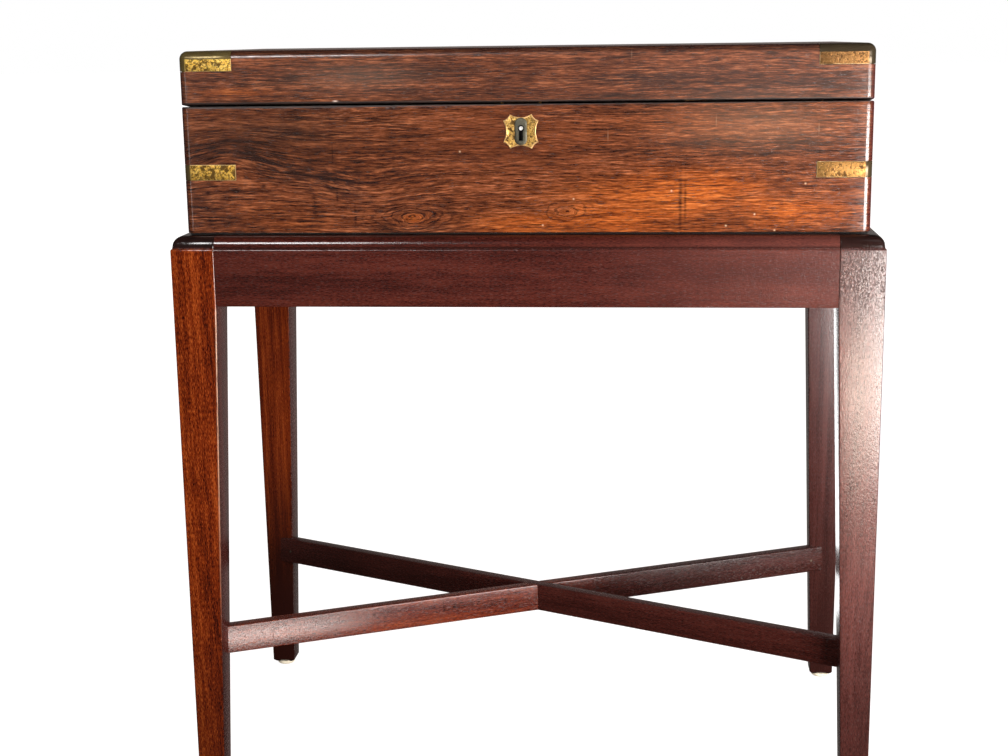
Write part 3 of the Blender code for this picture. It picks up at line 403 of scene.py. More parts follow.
# Stretchers: two square-edged mahogany bars from leg to leg, half-lapped where they cross.
# The bar from the front left gives up its upper half there, the other its lower half.
BAR_HEIGHT, BAR_THICKNESS, BAR_LEVEL, BAR_ARRIS, BAR_HOUSING = 0.0228, 0.010, 0.118, 0.0009, 0.011
LAP_GAP, LAP_CLEAR = 0.0001, 0.02
leg_there = LEG_FOOT + (LEG_TOP - LEG_FOOT) * (BAR_LEVEL - LEG_BOTTOM) / (RAIL_BOTTOM - LEG_BOTTOM)
bar_corner = np.array([STAND_X - leg_there, STAND_Y - leg_there])
bar_turn = math.atan2(bar_corner[1], bar_corner[0])
bar_reach = np.hypot(*bar_corner) + BAR_HOUSING


def stretcher_points(rising):
    """Rounded sections along a bar. At the lap the section halves, on ends skewed to the crossing bar.

    A point v off the bar's middle line meets the other bar's side at s = (h - v cos 2t) / sin 2t.
    """
    near = np.concatenate([np.linspace(-bar_reach, -LAP_CLEAR, 16), [0, 0]])
    lapped = np.array([False] * 17 + [True])
    stations = np.concatenate([near, -near[::-1]])
    lapped = np.concatenate([lapped, lapped[::-1]])
    low = np.where(lapped & (rising < 0), 0.0, -BAR_HEIGHT / 2)
    high = np.where(lapped & (rising > 0), 0.0, BAR_HEIGHT / 2)
    half = np.full(len(stations), BAR_THICKNESS / 2)
    section = ring(-half, half, low, high, np.full((len(stations), 4), BAR_ARRIS))
    off = section[..., 0]
    side = np.concatenate([-np.ones(len(near)), np.ones(len(near))])[:, None]
    reach, crossing = BAR_THICKNESS / 2 + LAP_GAP, 2 * bar_turn
    edge = (side * reach - rising * off * math.cos(crossing)) / math.sin(crossing)
    at_lap = (np.abs(stations) < 1e-9)[:, None]
    along = np.where(at_lap, edge, stations[:, None])
    turn = rising * bar_turn
    x = along * math.cos(turn) - off * math.sin(turn)
    y = along * math.sin(turn) + off * math.cos(turn)
    return np.stack([x, y, section[..., 1] + BAR_LEVEL], axis=-1), along, around(section)


washed_bars = []
for hand, rising, *depths in (("left", 1, 0.50, WASHED_WOOD), ("right", -1, 0.9, 0.9)):
    bar_points, along, girth = stretcher_points(rising)
    flow = np.stack([along + 9 + rising, girth, np.interp(along, [-LAP_CLEAR, 0.10], depths)], axis=-1)
    bar = put(f"stand_stretcher_front_{hand}", bar_points, tube(*along.shape), [mahogany], grain=flow)
    washed_bars += [bar] if hand == "left" else []
    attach(bar, "stand")
    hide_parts(f"stretcher_front_{hand}")

# Glides: small cream nylon buttons with a rounded rim, one under each foot.
# Each is turned, and pinned up into the leg's end grain.
GLIDE_RADIUS, GLIDE_HEIGHT, GLIDE_ROUND, GLIDE_CORE = 0.008, 0.0035, 0.0015, 0.003


def turned(profile, middle, sides=48):
    """A profile of (radius, height) turned about an upright axis; its ends close on single points."""
    turn = np.linspace(0, 2 * np.pi, sides, endpoint=False)[None, :]
    radius, height = (profile[1:-1, axis][:, None] for axis in (0, 1))
    body = np.stack([
        middle[0] + radius * np.cos(turn), middle[1] + radius * np.sin(turn),
        middle[2] + np.broadcast_to(height, (len(radius), sides)),
    ], axis=-1).reshape(-1, 3)
    poles = np.array(middle) + [[0, 0, profile[0, 1]], [0, 0, profile[-1, 1]]]
    count = len(body)
    here, after = np.arange(sides), np.roll(np.arange(sides), -1)
    first = np.stack([np.full(sides, count), here, after], axis=-1)
    last = np.stack([np.full(sides, count + 1), count - sides + after, count - sides + here], axis=-1)
    faces = lattice(len(radius), sides, wrap_columns=True).tolist() + first.tolist() + last.tolist()
    return np.concatenate([body, poles]), faces


def nylon_finish():
    """Cream nylon, rubbed dull and dirty underneath."""
    made, shader, place = new_finish("glide_nylon")
    dirt = smooth(noise(place, 320, 4), 0.45, 0.75)
    color = mix(dirt * 0.5, (0.78, 0.71, 0.56, 1), (0.40, 0.33, 0.24, 1))
    settle(shader, {
        "Base Color": color, "Roughness": 0.45 + 0.2 * dirt, "Normal": bump(noise(place, 1500), 0.00005),
    })
    return made


glide_nylon = nylon_finish()
curve = np.linspace(0, np.pi / 2, 7)
rim_inset, rim_rise = GLIDE_ROUND - GLIDE_ROUND * np.sin(curve), GLIDE_ROUND - GLIDE_ROUND * np.cos(curve)
glide_profile = np.concatenate([
    [(0, 0), (GLIDE_CORE, 0)],
    np.stack([GLIDE_RADIUS - rim_inset, rim_rise], axis=-1),
    [(GLIDE_RADIUS, GLIDE_HEIGHT), (GLIDE_CORE, GLIDE_HEIGHT), (0, GLIDE_HEIGHT)],
])
for corner, rear, right in CORNERS:
    middle = (right * (STAND_X - LEG_FOOT / 2), rear * (STAND_Y - LEG_FOOT / 2), 0)
    glide = put(f"foot_glide_{corner}", *turned(glide_profile, middle), [glide_nylon], crease=50)
    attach(glide, "stand")
    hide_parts(f"glide_{corner}")

# Brads: one small steel nail through each stretcher end into its leg, head just proud of the bar.
# The two at the back go in from the front, the two at the front from behind.
BRAD_RADIUS, BRAD_PROUD, BRAD_DEPTH, BRAD_FROM_LEG, BRAD_DROP = 0.0010, 0.0003, 0.001, 0.001, 0.0008


def steel_finish(name, clean, browned):
    """Worn steel: a clean grey, scratched, browned in spots."""
    made, shader, place = new_finish(name)
    spots = smooth(noise(place, 700, 4, 0.65), 0.50, 0.68)
    scratch = noise(place, (3000, 3000, 260), 2)
    color = mix(spots * 0.8, (*clean, 1), (*browned, 1))
    settle(shader, {
        "Base Color": color, "Metallic": 1 - 0.7 * spots, "Roughness": 0.40 + 0.2 * scratch + 0.2 * spots,
        "Normal": bump(scratch * 0.5 + spots, 0.00003),
    })
    return made


def nail(radius, proud, depth, sides):
    """A nail on its own axis: a dome of radius and proud height, a straight shank and a flat end."""
    dome = np.linspace(0, np.pi / 2, 6)
    head = np.stack([radius * np.sin(dome), proud * np.cos(dome)], axis=-1)
    return turned(np.concatenate([head, [(radius, -depth), (0, -depth)]]), (0, 0, 0), sides)


def driven(points, facing, spot):
    """A nail's points carried to a spot on an upright face, with the head out along facing."""
    cross = np.array([-facing[1], facing[0], 0.0])
    return points @ np.stack([cross, [0.0, 0.0, 1.0], [*facing, 0.0]]) + spot


dull_steel = steel_finish("dull_steel", (0.125, 0.118, 0.088), (0.050, 0.042, 0.024))
brad_points, brad_faces = nail(BRAD_RADIUS, BRAD_PROUD, BRAD_DEPTH, 20)
for corner, rear, right in CORNERS:
    turn = right * rear * bar_turn
    outwards = np.array([math.cos(turn), math.sin(turn)]) * right
    facing = np.array([math.sin(turn), -math.cos(turn)])
    facing *= -np.sign(facing[1]) * rear
    spot = outwards * (bar_reach - BAR_HOUSING - BRAD_FROM_LEG) + facing * BAR_THICKNESS / 2
    points = driven(brad_points, facing, [*spot, BAR_LEVEL - BRAD_DROP])
    brad = put(f"brad_{corner}", points, brad_faces, [dull_steel], crease=60)
    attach(brad, "stand")

# Base of the lap desk: one veneered rosewood case, walls 10 to 13 mm, its top cut to the writing slope.
# The corner straps, keyhole, lock and hinges are let into it.
HALF_X, HALF_Y, CASE_ROUND = 0.254, 0.12725, 0.006
BOX_BOTTOM, BOX_TOP, SEAM_HALF = 0.4461, 0.5806, 0.0008
HINGE_Y, HINGE_Z, SLOPE = 0.12775, 0.51335, math.radians(6.18850)
FRONT_WALL, SIDE_WALL, BACK_WALL, INNER_ROUND = 0.013, 0.010, 0.010, 0.001
FOOT_ARRIS, FOOT_EASE, RIM_ARRIS, RIM_EASE = 0.0008, 0.00023, 0.0006, 0.00018
RIM_START, RIM_TURN, RIM_LINE, INNER_LINE = SEAM_HALF + RIM_ARRIS, SEAM_HALF + RIM_EASE, 0.0042, 0.0352
STRAP_END, STRAP_DEPTH, STRAP_GAP, HAIR = 0.040, 0.0013, 0.0003, 0.00002
STRAP_LINES = np.array([-STRAP_GAP - HAIR, -STRAP_GAP, 0, 0.0003])
BASE_STRAP_LOW, BASE_STRAP_HIGH = 0.4857, 0.4971
BASE_STRAP_MIDDLE = (BASE_STRAP_LOW + BASE_STRAP_HIGH) / 2
KEY_PIT, KEY_LOW, KEY_HIGH, KEY_DEPTH, KEY_EDGE = 0.0033, 0.369, 0.659, 0.0030, 0.0005
LOCK_HALF, HOOK_HALF, CATCH_X, CATCH_HALF = 0.0245, 0.0203, 0.127, 0.0083
HINGE_X, HINGE_HALF, LAST_X, LAST_Y = 0.169, 0.0253, 0.2355, 0.10875
LOCK_CUT = (5, 0.00312, -0.0350), (6, 0.0033, -0.0351), (7, 0.0129, -0.03515)
HINGE_CUT = (1, 0.0024, -0.0037), (2, 0.0026, -0.0025), (3, 0.0083, -0.0024)


def seam_z(y, offset):
    """Height at depth y of the plane that lies offset above the middle of the seam."""
    return HINGE_Z + (offset - (y - HINGE_Y) * math.sin(SLOPE)) / math.cos(SLOPE)


def edge_lines(marks, strap_edge, last, pitch=0.012):
    """Column places along one edge: an even pitch, a close pair at each mark and four at the strap's end."""
    marks = np.array(marks)
    marked = np.concatenate([marks, marks + np.sign(marks) * HAIR])
    strap = strap_edge + STRAP_LINES
    even = np.arange(0, last, pitch)
    fixed = np.concatenate([marked, strap, [last]])
    even = even[np.abs(even[:, None] - np.abs(fixed)[None, :]).min(axis=1) > pitch / 5]
    return np.unique(np.concatenate([marked, strap, [last], even, -strap, [-last], -even]))


x_marks = [KEY_PIT, LOCK_HALF, HOOK_HALF, CATCH_X - CATCH_HALF, CATCH_X + CATCH_HALF]
x_marks += [HINGE_X - HINGE_HALF, HINGE_X + HINGE_HALF]
x_lines = edge_lines(x_marks + [-mark for mark in x_marks], HALF_X - STRAP_END, LAST_X)
y_lines = edge_lines([], HALF_Y - STRAP_END, LAST_Y)
corner_turn = np.radians([0, 11, 22, 33, 44.9, 45.1, 57, 68, 79, 90])


def columns_round():
    """Columns round the case from the front's left end, anticlockwise from above.

    Each has a kind (0 front or back, 1 side, 2 corner), a fixed place, signs, an outward normal and
    its distance along the veneer, which runs on round the front corners and starts afresh at the back.
    """
    bend, flat_x, flat_y = CASE_ROUND, HALF_X - CASE_ROUND, HALF_Y - CASE_ROUND
    quarter, side_start = bend * np.pi / 2, flat_x + bend * np.pi / 2
    side_end, back_start = side_start + 2 * flat_y, 3.0
    late = corner_turn > np.pi / 4
    parts = []

    def column(kind, fixed, x_sign, y_sign, angle, along):
        parts.append(np.stack(np.broadcast_arrays(kind, fixed, x_sign, y_sign, angle, along), axis=-1))

    column(0, x_lines, 0, -1, -np.pi / 2, x_lines)
    column(2, 0, 1, -1, corner_turn - np.pi / 2, flat_x + bend * corner_turn)
    column(1, y_lines, 1, 0, 0, side_start + y_lines + flat_y)
    column(2, 0, 1, 1, corner_turn, np.where(
        late, back_start - flat_x - bend * (np.pi / 2 - corner_turn), side_end + bend * corner_turn,
    ))
    column(0, x_lines[::-1], 0, 1, np.pi / 2, back_start - x_lines[::-1])
    column(2, 0, -1, 1, corner_turn + np.pi / 2, np.where(
        late, -side_end - bend * (np.pi / 2 - corner_turn), back_start + flat_x + bend * corner_turn,
    ))
    column(1, y_lines[::-1], -1, 0, np.pi, -side_start - y_lines[::-1] - flat_y)
    column(2, 0, -1, -1, corner_turn + np.pi, -flat_x - quarter + bend * corner_turn)
    return np.concatenate(parts)


case_columns = columns_round()
kind, fixed, x_sign, y_sign, facing_angle, veneer = case_columns.T
x_normal, y_normal = np.cos(facing_angle), np.sin(facing_angle)
front_or_back, on_side, on_corner = kind == 0, kind == 1, kind == 2
at_front, at_back = front_or_back & (y_sign < 0), front_or_back & (y_sign > 0)
strap_zone = on_corner | (front_or_back & (np.abs(fixed) > HALF_X - STRAP_END - STRAP_GAP - HAIR / 2))
strap_zone |= on_side & (np.abs(fixed) > HALF_Y - STRAP_END - STRAP_GAP - HAIR / 2)


def case_arrays(table):
    """Rows of (side inset, front inset, back inset, corner radius, level, seam share, seam offset, lean)."""
    side, front, back, radius, level, share, offset, lean = np.array(table, float).T
    across = np.where((y_sign < 0)[None, :], front[:, None], back[:, None])
    single = (side, radius, level, share, offset, lean)
    spread = [np.repeat(value[:, None], len(kind), axis=1) for value in single]
    return [spread[0], across, *spread[1:]]


def case_points(arrays, sink):
    """The case's surface: each row's outline drawn in by its insets, then sunk along its own normal.

    Straight columns keep their place along the wall; corner columns lie on an arc about the corner's
    centre; the height mixes a level with the sloping seam by the row's share.
    """
    inset_x, inset_y, radius, level, share, offset, lean = arrays
    flat, down = sink * np.cos(lean), sink * np.sin(lean)
    x_corner = x_sign * (HALF_X - inset_x - radius) + x_normal * (radius - flat)
    y_corner = y_sign * (HALF_Y - inset_y - radius) + y_normal * (radius - flat)
    x = np.where(front_or_back, fixed, np.where(on_side, x_sign * (HALF_X - inset_x - flat), x_corner))
    y = np.where(on_side, fixed, np.where(front_or_back, y_sign * (HALF_Y - inset_y - flat), y_corner))
    z = (1 - share) * level + share * seam_z(y, offset) - down
    return np.stack([x, y, z], axis=-1)


def wall_row(inset, level, share=0.0, offset=0.0):
    """A row of the outside, where the corner's radius shrinks with the inset."""
    return (inset, inset, inset, max(INNER_ROUND, CASE_ROUND - inset), level, share, offset, 0)


def rim_row(side, front, back, offset):
    """A row of the rim along the seam, with its own inset on each wall."""
    return (side, front, back, max(INNER_ROUND, CASE_ROUND - front), 0, 1, offset, 0)


def inner_row(trim, level, share=0.0, offset=0.0):
    """A row of the inside, trim short of the full wall."""
    walls = (SIDE_WALL - trim, FRONT_WALL - trim, BACK_WALL - trim)
    return (*walls, INNER_ROUND, level, share, offset, 0)


base_table = [inner_row(0, BOX_BOTTOM), wall_row(FOOT_ARRIS, BOX_BOTTOM)]
base_table += [wall_row(FOOT_EASE, BOX_BOTTOM + FOOT_EASE), wall_row(0, BOX_BOTTOM + FOOT_ARRIS)]
base_table += [wall_row(0, level) for level in np.linspace(0.450, 0.482, 4)]
base_strap_rows = len(base_table)
base_table += [wall_row(0, BASE_STRAP_LOW + gap) for gap in STRAP_LINES]
base_table += [wall_row(0, BASE_STRAP_MIDDLE)]
base_table += [wall_row(0, BASE_STRAP_HIGH - gap) for gap in STRAP_LINES[::-1]]
rise_start = BASE_STRAP_HIGH + STRAP_GAP
key_rows = len(base_table) + 2
rises = [0.12, 0.25, KEY_LOW - KEY_EDGE, KEY_LOW, 0.45, 0.55, KEY_HIGH, KEY_HIGH + KEY_EDGE, 0.75, 0.85]
base_table += [wall_row(0, rise_start, share, -SEAM_HALF) for share in rises]
base_rim = len(base_table)
base_table += [wall_row(0, 0, 1, -RIM_LINE), wall_row(0, 0, 1, -RIM_START), wall_row(RIM_EASE, 0, 1, -RIM_TURN)]
base_table += [rim_row(*insets, -SEAM_HALF) for insets in ([RIM_ARRIS] * 3, (0.005, 0.0031, 0.00832))]
base_table += [inner_row(RIM_ARRIS, 0, 1, -SEAM_HALF), inner_row(RIM_EASE, 0, 1, -RIM_TURN)]
base_table += [inner_row(0, 0, 1, -RIM_START), inner_row(0, 0, 1, -INNER_LINE)]
base_arrays = case_arrays(base_table)


def carve(arrays, rim, columns, cuts):
    """Cuts a recess in some columns: each cut moves a row, counted from the rim, to an inset and offset."""
    for row, inset, offset in cuts:
        arrays[1][rim + row, columns] = inset
        arrays[5][rim + row, columns] = offset


in_lock = at_front & (np.abs(fixed) < LOCK_HALF + HAIR / 2)
in_hinge = at_back & (np.abs(np.abs(fixed) - HINGE_X) < HINGE_HALF + HAIR / 2)
carve(base_arrays, base_rim, in_lock, LOCK_CUT)
carve(base_arrays, base_rim, in_hinge, HINGE_CUT)
base_sink = np.zeros((len(base_table), len(kind)))
base_sink[base_strap_rows + 1:base_strap_rows + 8, strap_zone] = STRAP_DEPTH
in_key = at_front & (np.abs(fixed) < KEY_PIT + HAIR / 2)
base_sink[key_rows + 1:key_rows + 5, in_key] = KEY_DEPTH
base_points = case_points(base_arrays, base_sink)


def rosewood_finish():
    """Polished rosewood: a brown ground with fine black-brown dashes and long hair lines.

    A dark band arches over the left, two knots part the grain, and an orange glow lies low on the
    front. Stains, pale chips, seam dirt, a painted sheen on the lid and painted shade in the seam,
    round the escutcheon, on the front corners and along the lid's top edge lie over that.
    """
    made, shader, place = new_finish("rosewood")
    grain = grain_of(place)
    along, across, _ = split(grain)

    def squared(along_mid, across_mid, along_size, across_size):
        """The square of the distance from a middle, in sizes of its own."""
        first = (along - along_mid) * (1 / along_size)
        second = (across - across_mid) * (1 / across_size)
        return first * first + second * second

    def spot(*middle_and_size):
        """A soft round patch: e to the minus square of the distance."""
        return place.math("POWER", math.e, 0 - squared(*middle_and_size))

    def spots(size, *middles):
        """Several like patches added up."""
        return sum((spot(*middle, *size) for middle in middles[1:]), spot(*middles[0], *size))

    def patches(*rows):
        """Unlike patches added up, each row a middle, a size and a share."""
        first, *others = (spot(*row[:4]) * row[4] for row in rows)
        return sum(others, first)

    wobble = noise(grain, (75, 170, 0), 3) - 0.5

    def rings(waves, *middle_and_size):
        """Dark ovals round a middle: the crests of a wave in the wobbled distance, fading outwards."""
        away = squared(*middle_and_size) ** 0.5 + wobble * (13 / waves)
        return smooth(place.math("SINE", away * waves), 0.25, 0.85) * bell(away)

    drift = (noise(grain, (2.4, 8, 0), 2) - 0.5) * 0.010
    ripple = wobble * (0.0016 + 0.0040 * spot(-0.083, 0.460, 0.034, 0.012))
    arch = spot(-0.114, 0.478, 0.040, 0.015) * 0.008 - spot(-0.217, 0.505, 0.034, 0.018) * 0.009
    height = across + drift + ripple + arch

    def parted(height, along_mid, across_mid, radius):
        """Grain parted by a knot, as a stream round a post: y less y r^2 / d^2, and r less d inside it."""
        first, second = (along - along_mid) * 0.45 + wobble * 0.006, height - across_mid
        square = first * first + second * second
        inside = place.math("MAXIMUM", radius - square ** 0.5, 0.0)
        return height - second * radius ** 2 / place.math("MAXIMUM", square, radius ** 2) + inside * 1.6

    height = parted(parted(height, -0.0815, 0.4585, 0.0058), 0.033, 0.4618, 0.0032)
    flow = place.node("CombineXYZ", {}, {0: along, 1: height, 2: 0.0})
    broad = noise(flow, (2.6, 60, 0), 2, 0.6)
    lines = noise(flow, (22, 330, 0), 3, 0.65)
    dashes = noise(flow, (80, 1000, 0), 3, 0.7)
    figure = broad * 0.19 + lines * 0.28 + dashes * 0.46 + 0.035
    figure = figure + (0.512 - figure) * spot(-0.005, 0.516, 0.060, 0.022) * 0.45
    ground = ramp(figure, [
        (0.41, (0.012, 0.0042, 0.0026)), (0.47, (0.068, 0.0180, 0.0070)),
        (0.53, (0.150, 0.0410, 0.0150)), (0.60, (0.330, 0.1100, 0.0460)),
    ])
    warm = ramp(figure, [
        (0.41, (0.085, 0.0165, 0.0036)), (0.47, (0.215, 0.0460, 0.0084)),
        (0.53, (0.345, 0.0830, 0.0150)), (0.60, (0.490, 0.1450, 0.0310)),
    ])
    # a warm glow low on the front and in a few patches above
    glow = patches(
        (0.105, 0.464, 0.090, 0.023, 0.95), (0.000, 0.450, 0.055, 0.010, 0.6),
        (0.205, 0.459, 0.050, 0.016, 0.6), (-0.081, 0.457, 0.009, 0.0045, 0.7),
        (-0.190, 0.458, 0.055, 0.012, 0.45), (-0.208, 0.550, 0.040, 0.0045, 0.55),
        (-0.200, 0.529, 0.034, 0.0040, 0.5), (0.130, 0.522, 0.085, 0.016, 0.36),
    )
    patch = smooth(across, 0.4968, 0.4950) * smooth(along, 0.070, 0.090) * smooth(along, 0.1800, 0.1770)
    glow = glow + patch * spot(0.130, 0.484, 0.060, 0.014) * 0.45
    patchy = smooth(noise(grain, (9, 45, 0), 2), 0.30, 0.66)
    color = mix(smooth(glow * (0.45 + 0.70 * patchy), 0.05, 1.0), ground, warm)
    # dark figure: the arching band, clouds and broken bands
    off_band = (height - 0.4990 + 0.15 * (along + 0.217)) * (1 / 0.0085)
    gloom = bell(off_band) * smooth(along, -0.290, -0.235) * smooth(along, -0.104, -0.130)
    short, longer = (0.022, 0.0040), (0.034, 0.0050)
    gloom = gloom + spots(short, (-0.174, 0.5193), (0.1207, 0.511), (0.0885, 0.557), (0.030, 0.532)) * 0.7
    gloom = gloom + spots(longer, (0.159, 0.546), (0.132, 0.561), (0.205, 0.556), (0.190, 0.507)) * 0.7
    gloom = gloom + patches((-0.235, 0.466, 0.020, 0.016, 0.6), (-0.180, 0.524, 0.070, 0.014, 0.38))
    bands = smooth(noise(flow, (4.2, 110, 0), 4, 0.7), 0.53, 0.66) * 0.55
    broken = smooth(dashes * 0.6 + lines * 0.4, 0.60, 0.45)
    black = place.math("MINIMUM", gloom * (0.25 + 0.75 * broken) + bands * broken, 1.0)
    color = mix(black * 0.82, color, (0.016, 0.0088, 0.0080, 1))
    # strokes, pores and long hairs, the hairs stronger on the lid and on the left
    stroke = smooth(noise(flow, (110, 1300, 0), 2), 0.55, 0.66)
    pore = smooth(noise(flow, (250, 2300, 0), 2), 0.56, 0.68)
    color = mix(stroke * 0.62 + pore * 0.30, color, (0.012, 0.0046, 0.0030, 1))
    hair = smooth(abs(noise(flow, (11, 360, 0), 2) - 0.5), 0.036, 0.010)
    hair = hair * smooth(noise(grain, (34, 150, 0), 2), 0.38, 0.58)
    on_lid, on_left = smooth(across, 0.5405, 0.5415), smooth(along, -0.06, -0.14)
    hair = hair * (0.6 + 0.3 * place.math("MAXIMUM", on_lid, on_left))
    color = mix(hair, color, (0.016, 0.0058, 0.0036, 1))
    # rings round the knots, stains, streaks and dots
    ovals = rings(36, -0.0815, 0.4585, 0.040, 0.0135) * 0.95 + rings(20, 0.033, 0.4618, 0.0200, 0.0095) * 0.95
    ovals = ovals + rings(9, 0.033, 0.479, 0.012, 0.0035) * 0.4
    stain = patches((0.1163, 0.468, 0.0017, 0.024, 1.0), (0.1198, 0.470, 0.0012, 0.021, 0.8))
    streak = spot(-0.1550, 0.467, 0.0026, 0.011) + spots((0.0013, 0.008), (-0.1377, 0.474), (-0.1247, 0.460))
    dots = spots((0.0022, 0.0018), (-0.2360, 0.4763), (-0.2366, 0.4645), (-0.2355, 0.4560), (-0.1933, 0.4812))
    marks = ovals * (0.6 + 0.4 * broken) + stain * (0.55 + 0.4 * broken) + streak * broken * 0.9 + dots * 0.8
    # a streak, a dark halo round the escutcheon that is painted shade with some dirt, and a small dark spot
    marks = marks + patches(
        (-0.1403, 0.505, 0.0006, 0.011, 0.6), (0.0, 0.5202, 0.0142, 0.0136, 0.8),
        (0.188, 0.509, 0.0035, 0.0045, 0.5),
    )
    color = mix(smooth(marks, 0.02, 0.95) * 0.9, color, (0.018, 0.0062, 0.0040, 1))
    # pale chips and scratches
    chips = spots(
        (0.0006, 0.0006), (0.1098, 0.4765), (0.0383, 0.4708), (0.1847, 0.4475), (0.1701, 0.4592),
        (0.2062, 0.4814), (0.1495, 0.4509), (-0.0452, 0.5059), (0.0155, 0.4515),
    )
    scratches = spots((0.0004, 0.0035), (0.1416, 0.5267), (0.0635, 0.5167), (0.2148, 0.5208), (0.0805, 0.5752))
    pale = place.math("MINIMUM", chips + scratches * 0.18, 1.0)
    color = mix(pale * 0.6, color, (0.70, 0.48, 0.30, 1))
    # broad tints: a painted grey sheen on the lid, a painted pale sheen on its left, then dark and pale areas
    lid_painted_sheen = on_lid * (0.10 + 0.14 * smooth(along, -0.05, 0.20))
    color = mix(lid_painted_sheen, color, (0.100, 0.076, 0.066, 1))
    color = mix(spot(-0.185, 0.522, 0.085, 0.026) * 0.44, color, (0.020, 0.0085, 0.0045, 1))
    color = mix(spot(-0.118, 0.561, 0.045, 0.010) * 0.11, color, (0.36, 0.27, 0.20, 1))
    color = mix(spot(0.005, 0.560, 0.080, 0.016) * 0.26, color, (0.024, 0.0100, 0.0070, 1))
    color = mix(spot(0.170, 0.524, 0.062, 0.018) * 0.14, color, (0.42, 0.28, 0.19, 1))
    # dirt and painted shade along the seam with one chip, painted wine-red shade on the rounded end corners,
    # and painted shade on the lid's rounded top edge
    x_place, y_place, z_place = split(place)
    off_seam = abs(z_place - HINGE_Z - (HINGE_Y - y_place) * math.tan(SLOPE))
    # painted shade with some dirt: a dark line along the seam, wider on the left
    dirt = smooth(off_seam - 0.0005 * smooth(x_place, 0.10, -0.20), 0.0020, 0.0011)
    color = mix(dirt * 0.9, color, (0.008, 0.0045, 0.0035, 1))
    color = mix(spot(-0.1368, 0.5433, 0.0016, 0.0005) * 0.8, color, (0.78, 0.62, 0.52, 1))
    from_side = HALF_X - abs(x_place)
    inset = place.math("MINIMUM", from_side, HALF_Y - abs(y_place))
    # painted shade: the rounded front corners are darkened to wine-red
    corner_painted_shade = smooth(from_side, 0.0034, 0.0016) * smooth(y_place, -0.10, -0.12)
    color = mix(corner_painted_shade * 0.7, color, (0.050, 0.0090, 0.0105, 1))
    # painted shade along the lid's rounded top edge
    top_edge_painted_shade = smooth(z_place, 0.5750, 0.5778) * smooth(inset, 0.014, 0.004)
    color = mix(top_edge_painted_shade * 0.60, color, (0.016, 0.0060, 0.0045, 1))
    rough = 0.13 + 0.08 * noise(place, 26, 4) + 0.10 * pore + 0.10 * stroke + 0.40 * dirt
    skin = bump(noise(place, 900, 1) * 0.4 + (1 - pore) * 0.5 + dashes * 0.6 + (1 - stroke) * 0.5, 0.000045)
    settle(shader, {"Base Color": color, "Roughness": rough, "Normal": skin, "Specular IOR Level": 0.5})
    return made


def inner_wood_finish(name, scale):
    """Waxed red-brown inner wood: streaks along the board, pores and a dull wax shine."""
    made, shader, place = new_finish(name)
    streaks = noise(place, scale, 4, 0.6)
    wide = noise(place, tuple(value * 0.18 for value in scale), 2)
    figure = streaks * 0.6 + wide * 0.4
    color = ramp(figure, [
        (0.32, (0.070, 0.020, 0.0085)), (0.50, (0.165, 0.052, 0.020)), (0.68, (0.270, 0.098, 0.040)),
    ])
    pore = smooth(noise(place, tuple(value * 9 for value in scale), 1), 0.60, 0.70)
    color = mix(pore * 0.5, color, (0.030, 0.010, 0.005, 1))
    settle(shader, {
        "Base Color": color, "Roughness": 0.42 + 0.15 * wide + 0.1 * pore, "Normal": bump(1 - pore, 0.00006),
    })
    return made


def keyhole_shade_finish():
    """The unlit inside of the keyhole: bare wood painted near black as shade."""
    made, shader, place = new_finish("keyhole_painted_shade")
    color = mix(noise(place, 900), (0.003, 0.002, 0.002, 1), (0.010, 0.007, 0.005, 1))
    settle(shader, {"Base Color": color, "Roughness": 0.9})
    return made


rosewood = rosewood_finish()
inner_wall_wood = inner_wood_finish("inner_wall_wood", (11, 11, 320))
inner_board_wood = inner_wood_finish("inner_board_wood", (11, 320, 320))
keyhole_painted_shade = keyhole_shade_finish()
base_rows = len(base_table)
base_faces = lattice(base_rows, len(kind), wrap_rows=True, wrap_columns=True)
base_kinds = np.zeros(len(base_faces), int)
face_row = np.repeat(np.arange(base_rows), len(kind))
base_kinds[face_row >= base_rim + 6] = 1
# the keyhole's pit takes the near-black painted shade
base_kinds[base_sink.reshape(-1)[base_faces].max(axis=1) > 2 * STRAP_DEPTH] = 2
base_flow = np.stack([np.broadcast_to(veneer, base_sink.shape), base_points[..., 2], base_sink * 0], axis=-1)
base_case = put(
    "base_case", base_points, base_faces.tolist(), [rosewood, inner_wall_wood, keyhole_painted_shade],
    grain=base_flow, kinds=base_kinds, crease=40,
)
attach(base_case, "lap_desk_base")
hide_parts("base_front", "base_back", "base_left", "base_right")

# Brass corner straps: cast L-shaped plates let in flush round each corner, four on the base here.
# Old brass: gold where rubbed, with brown tarnish specks, and painted olive-dark shade where it bends round an
# edge.
STRAP_EASE, STRAP_PLATE = 0.00012, 0.0011


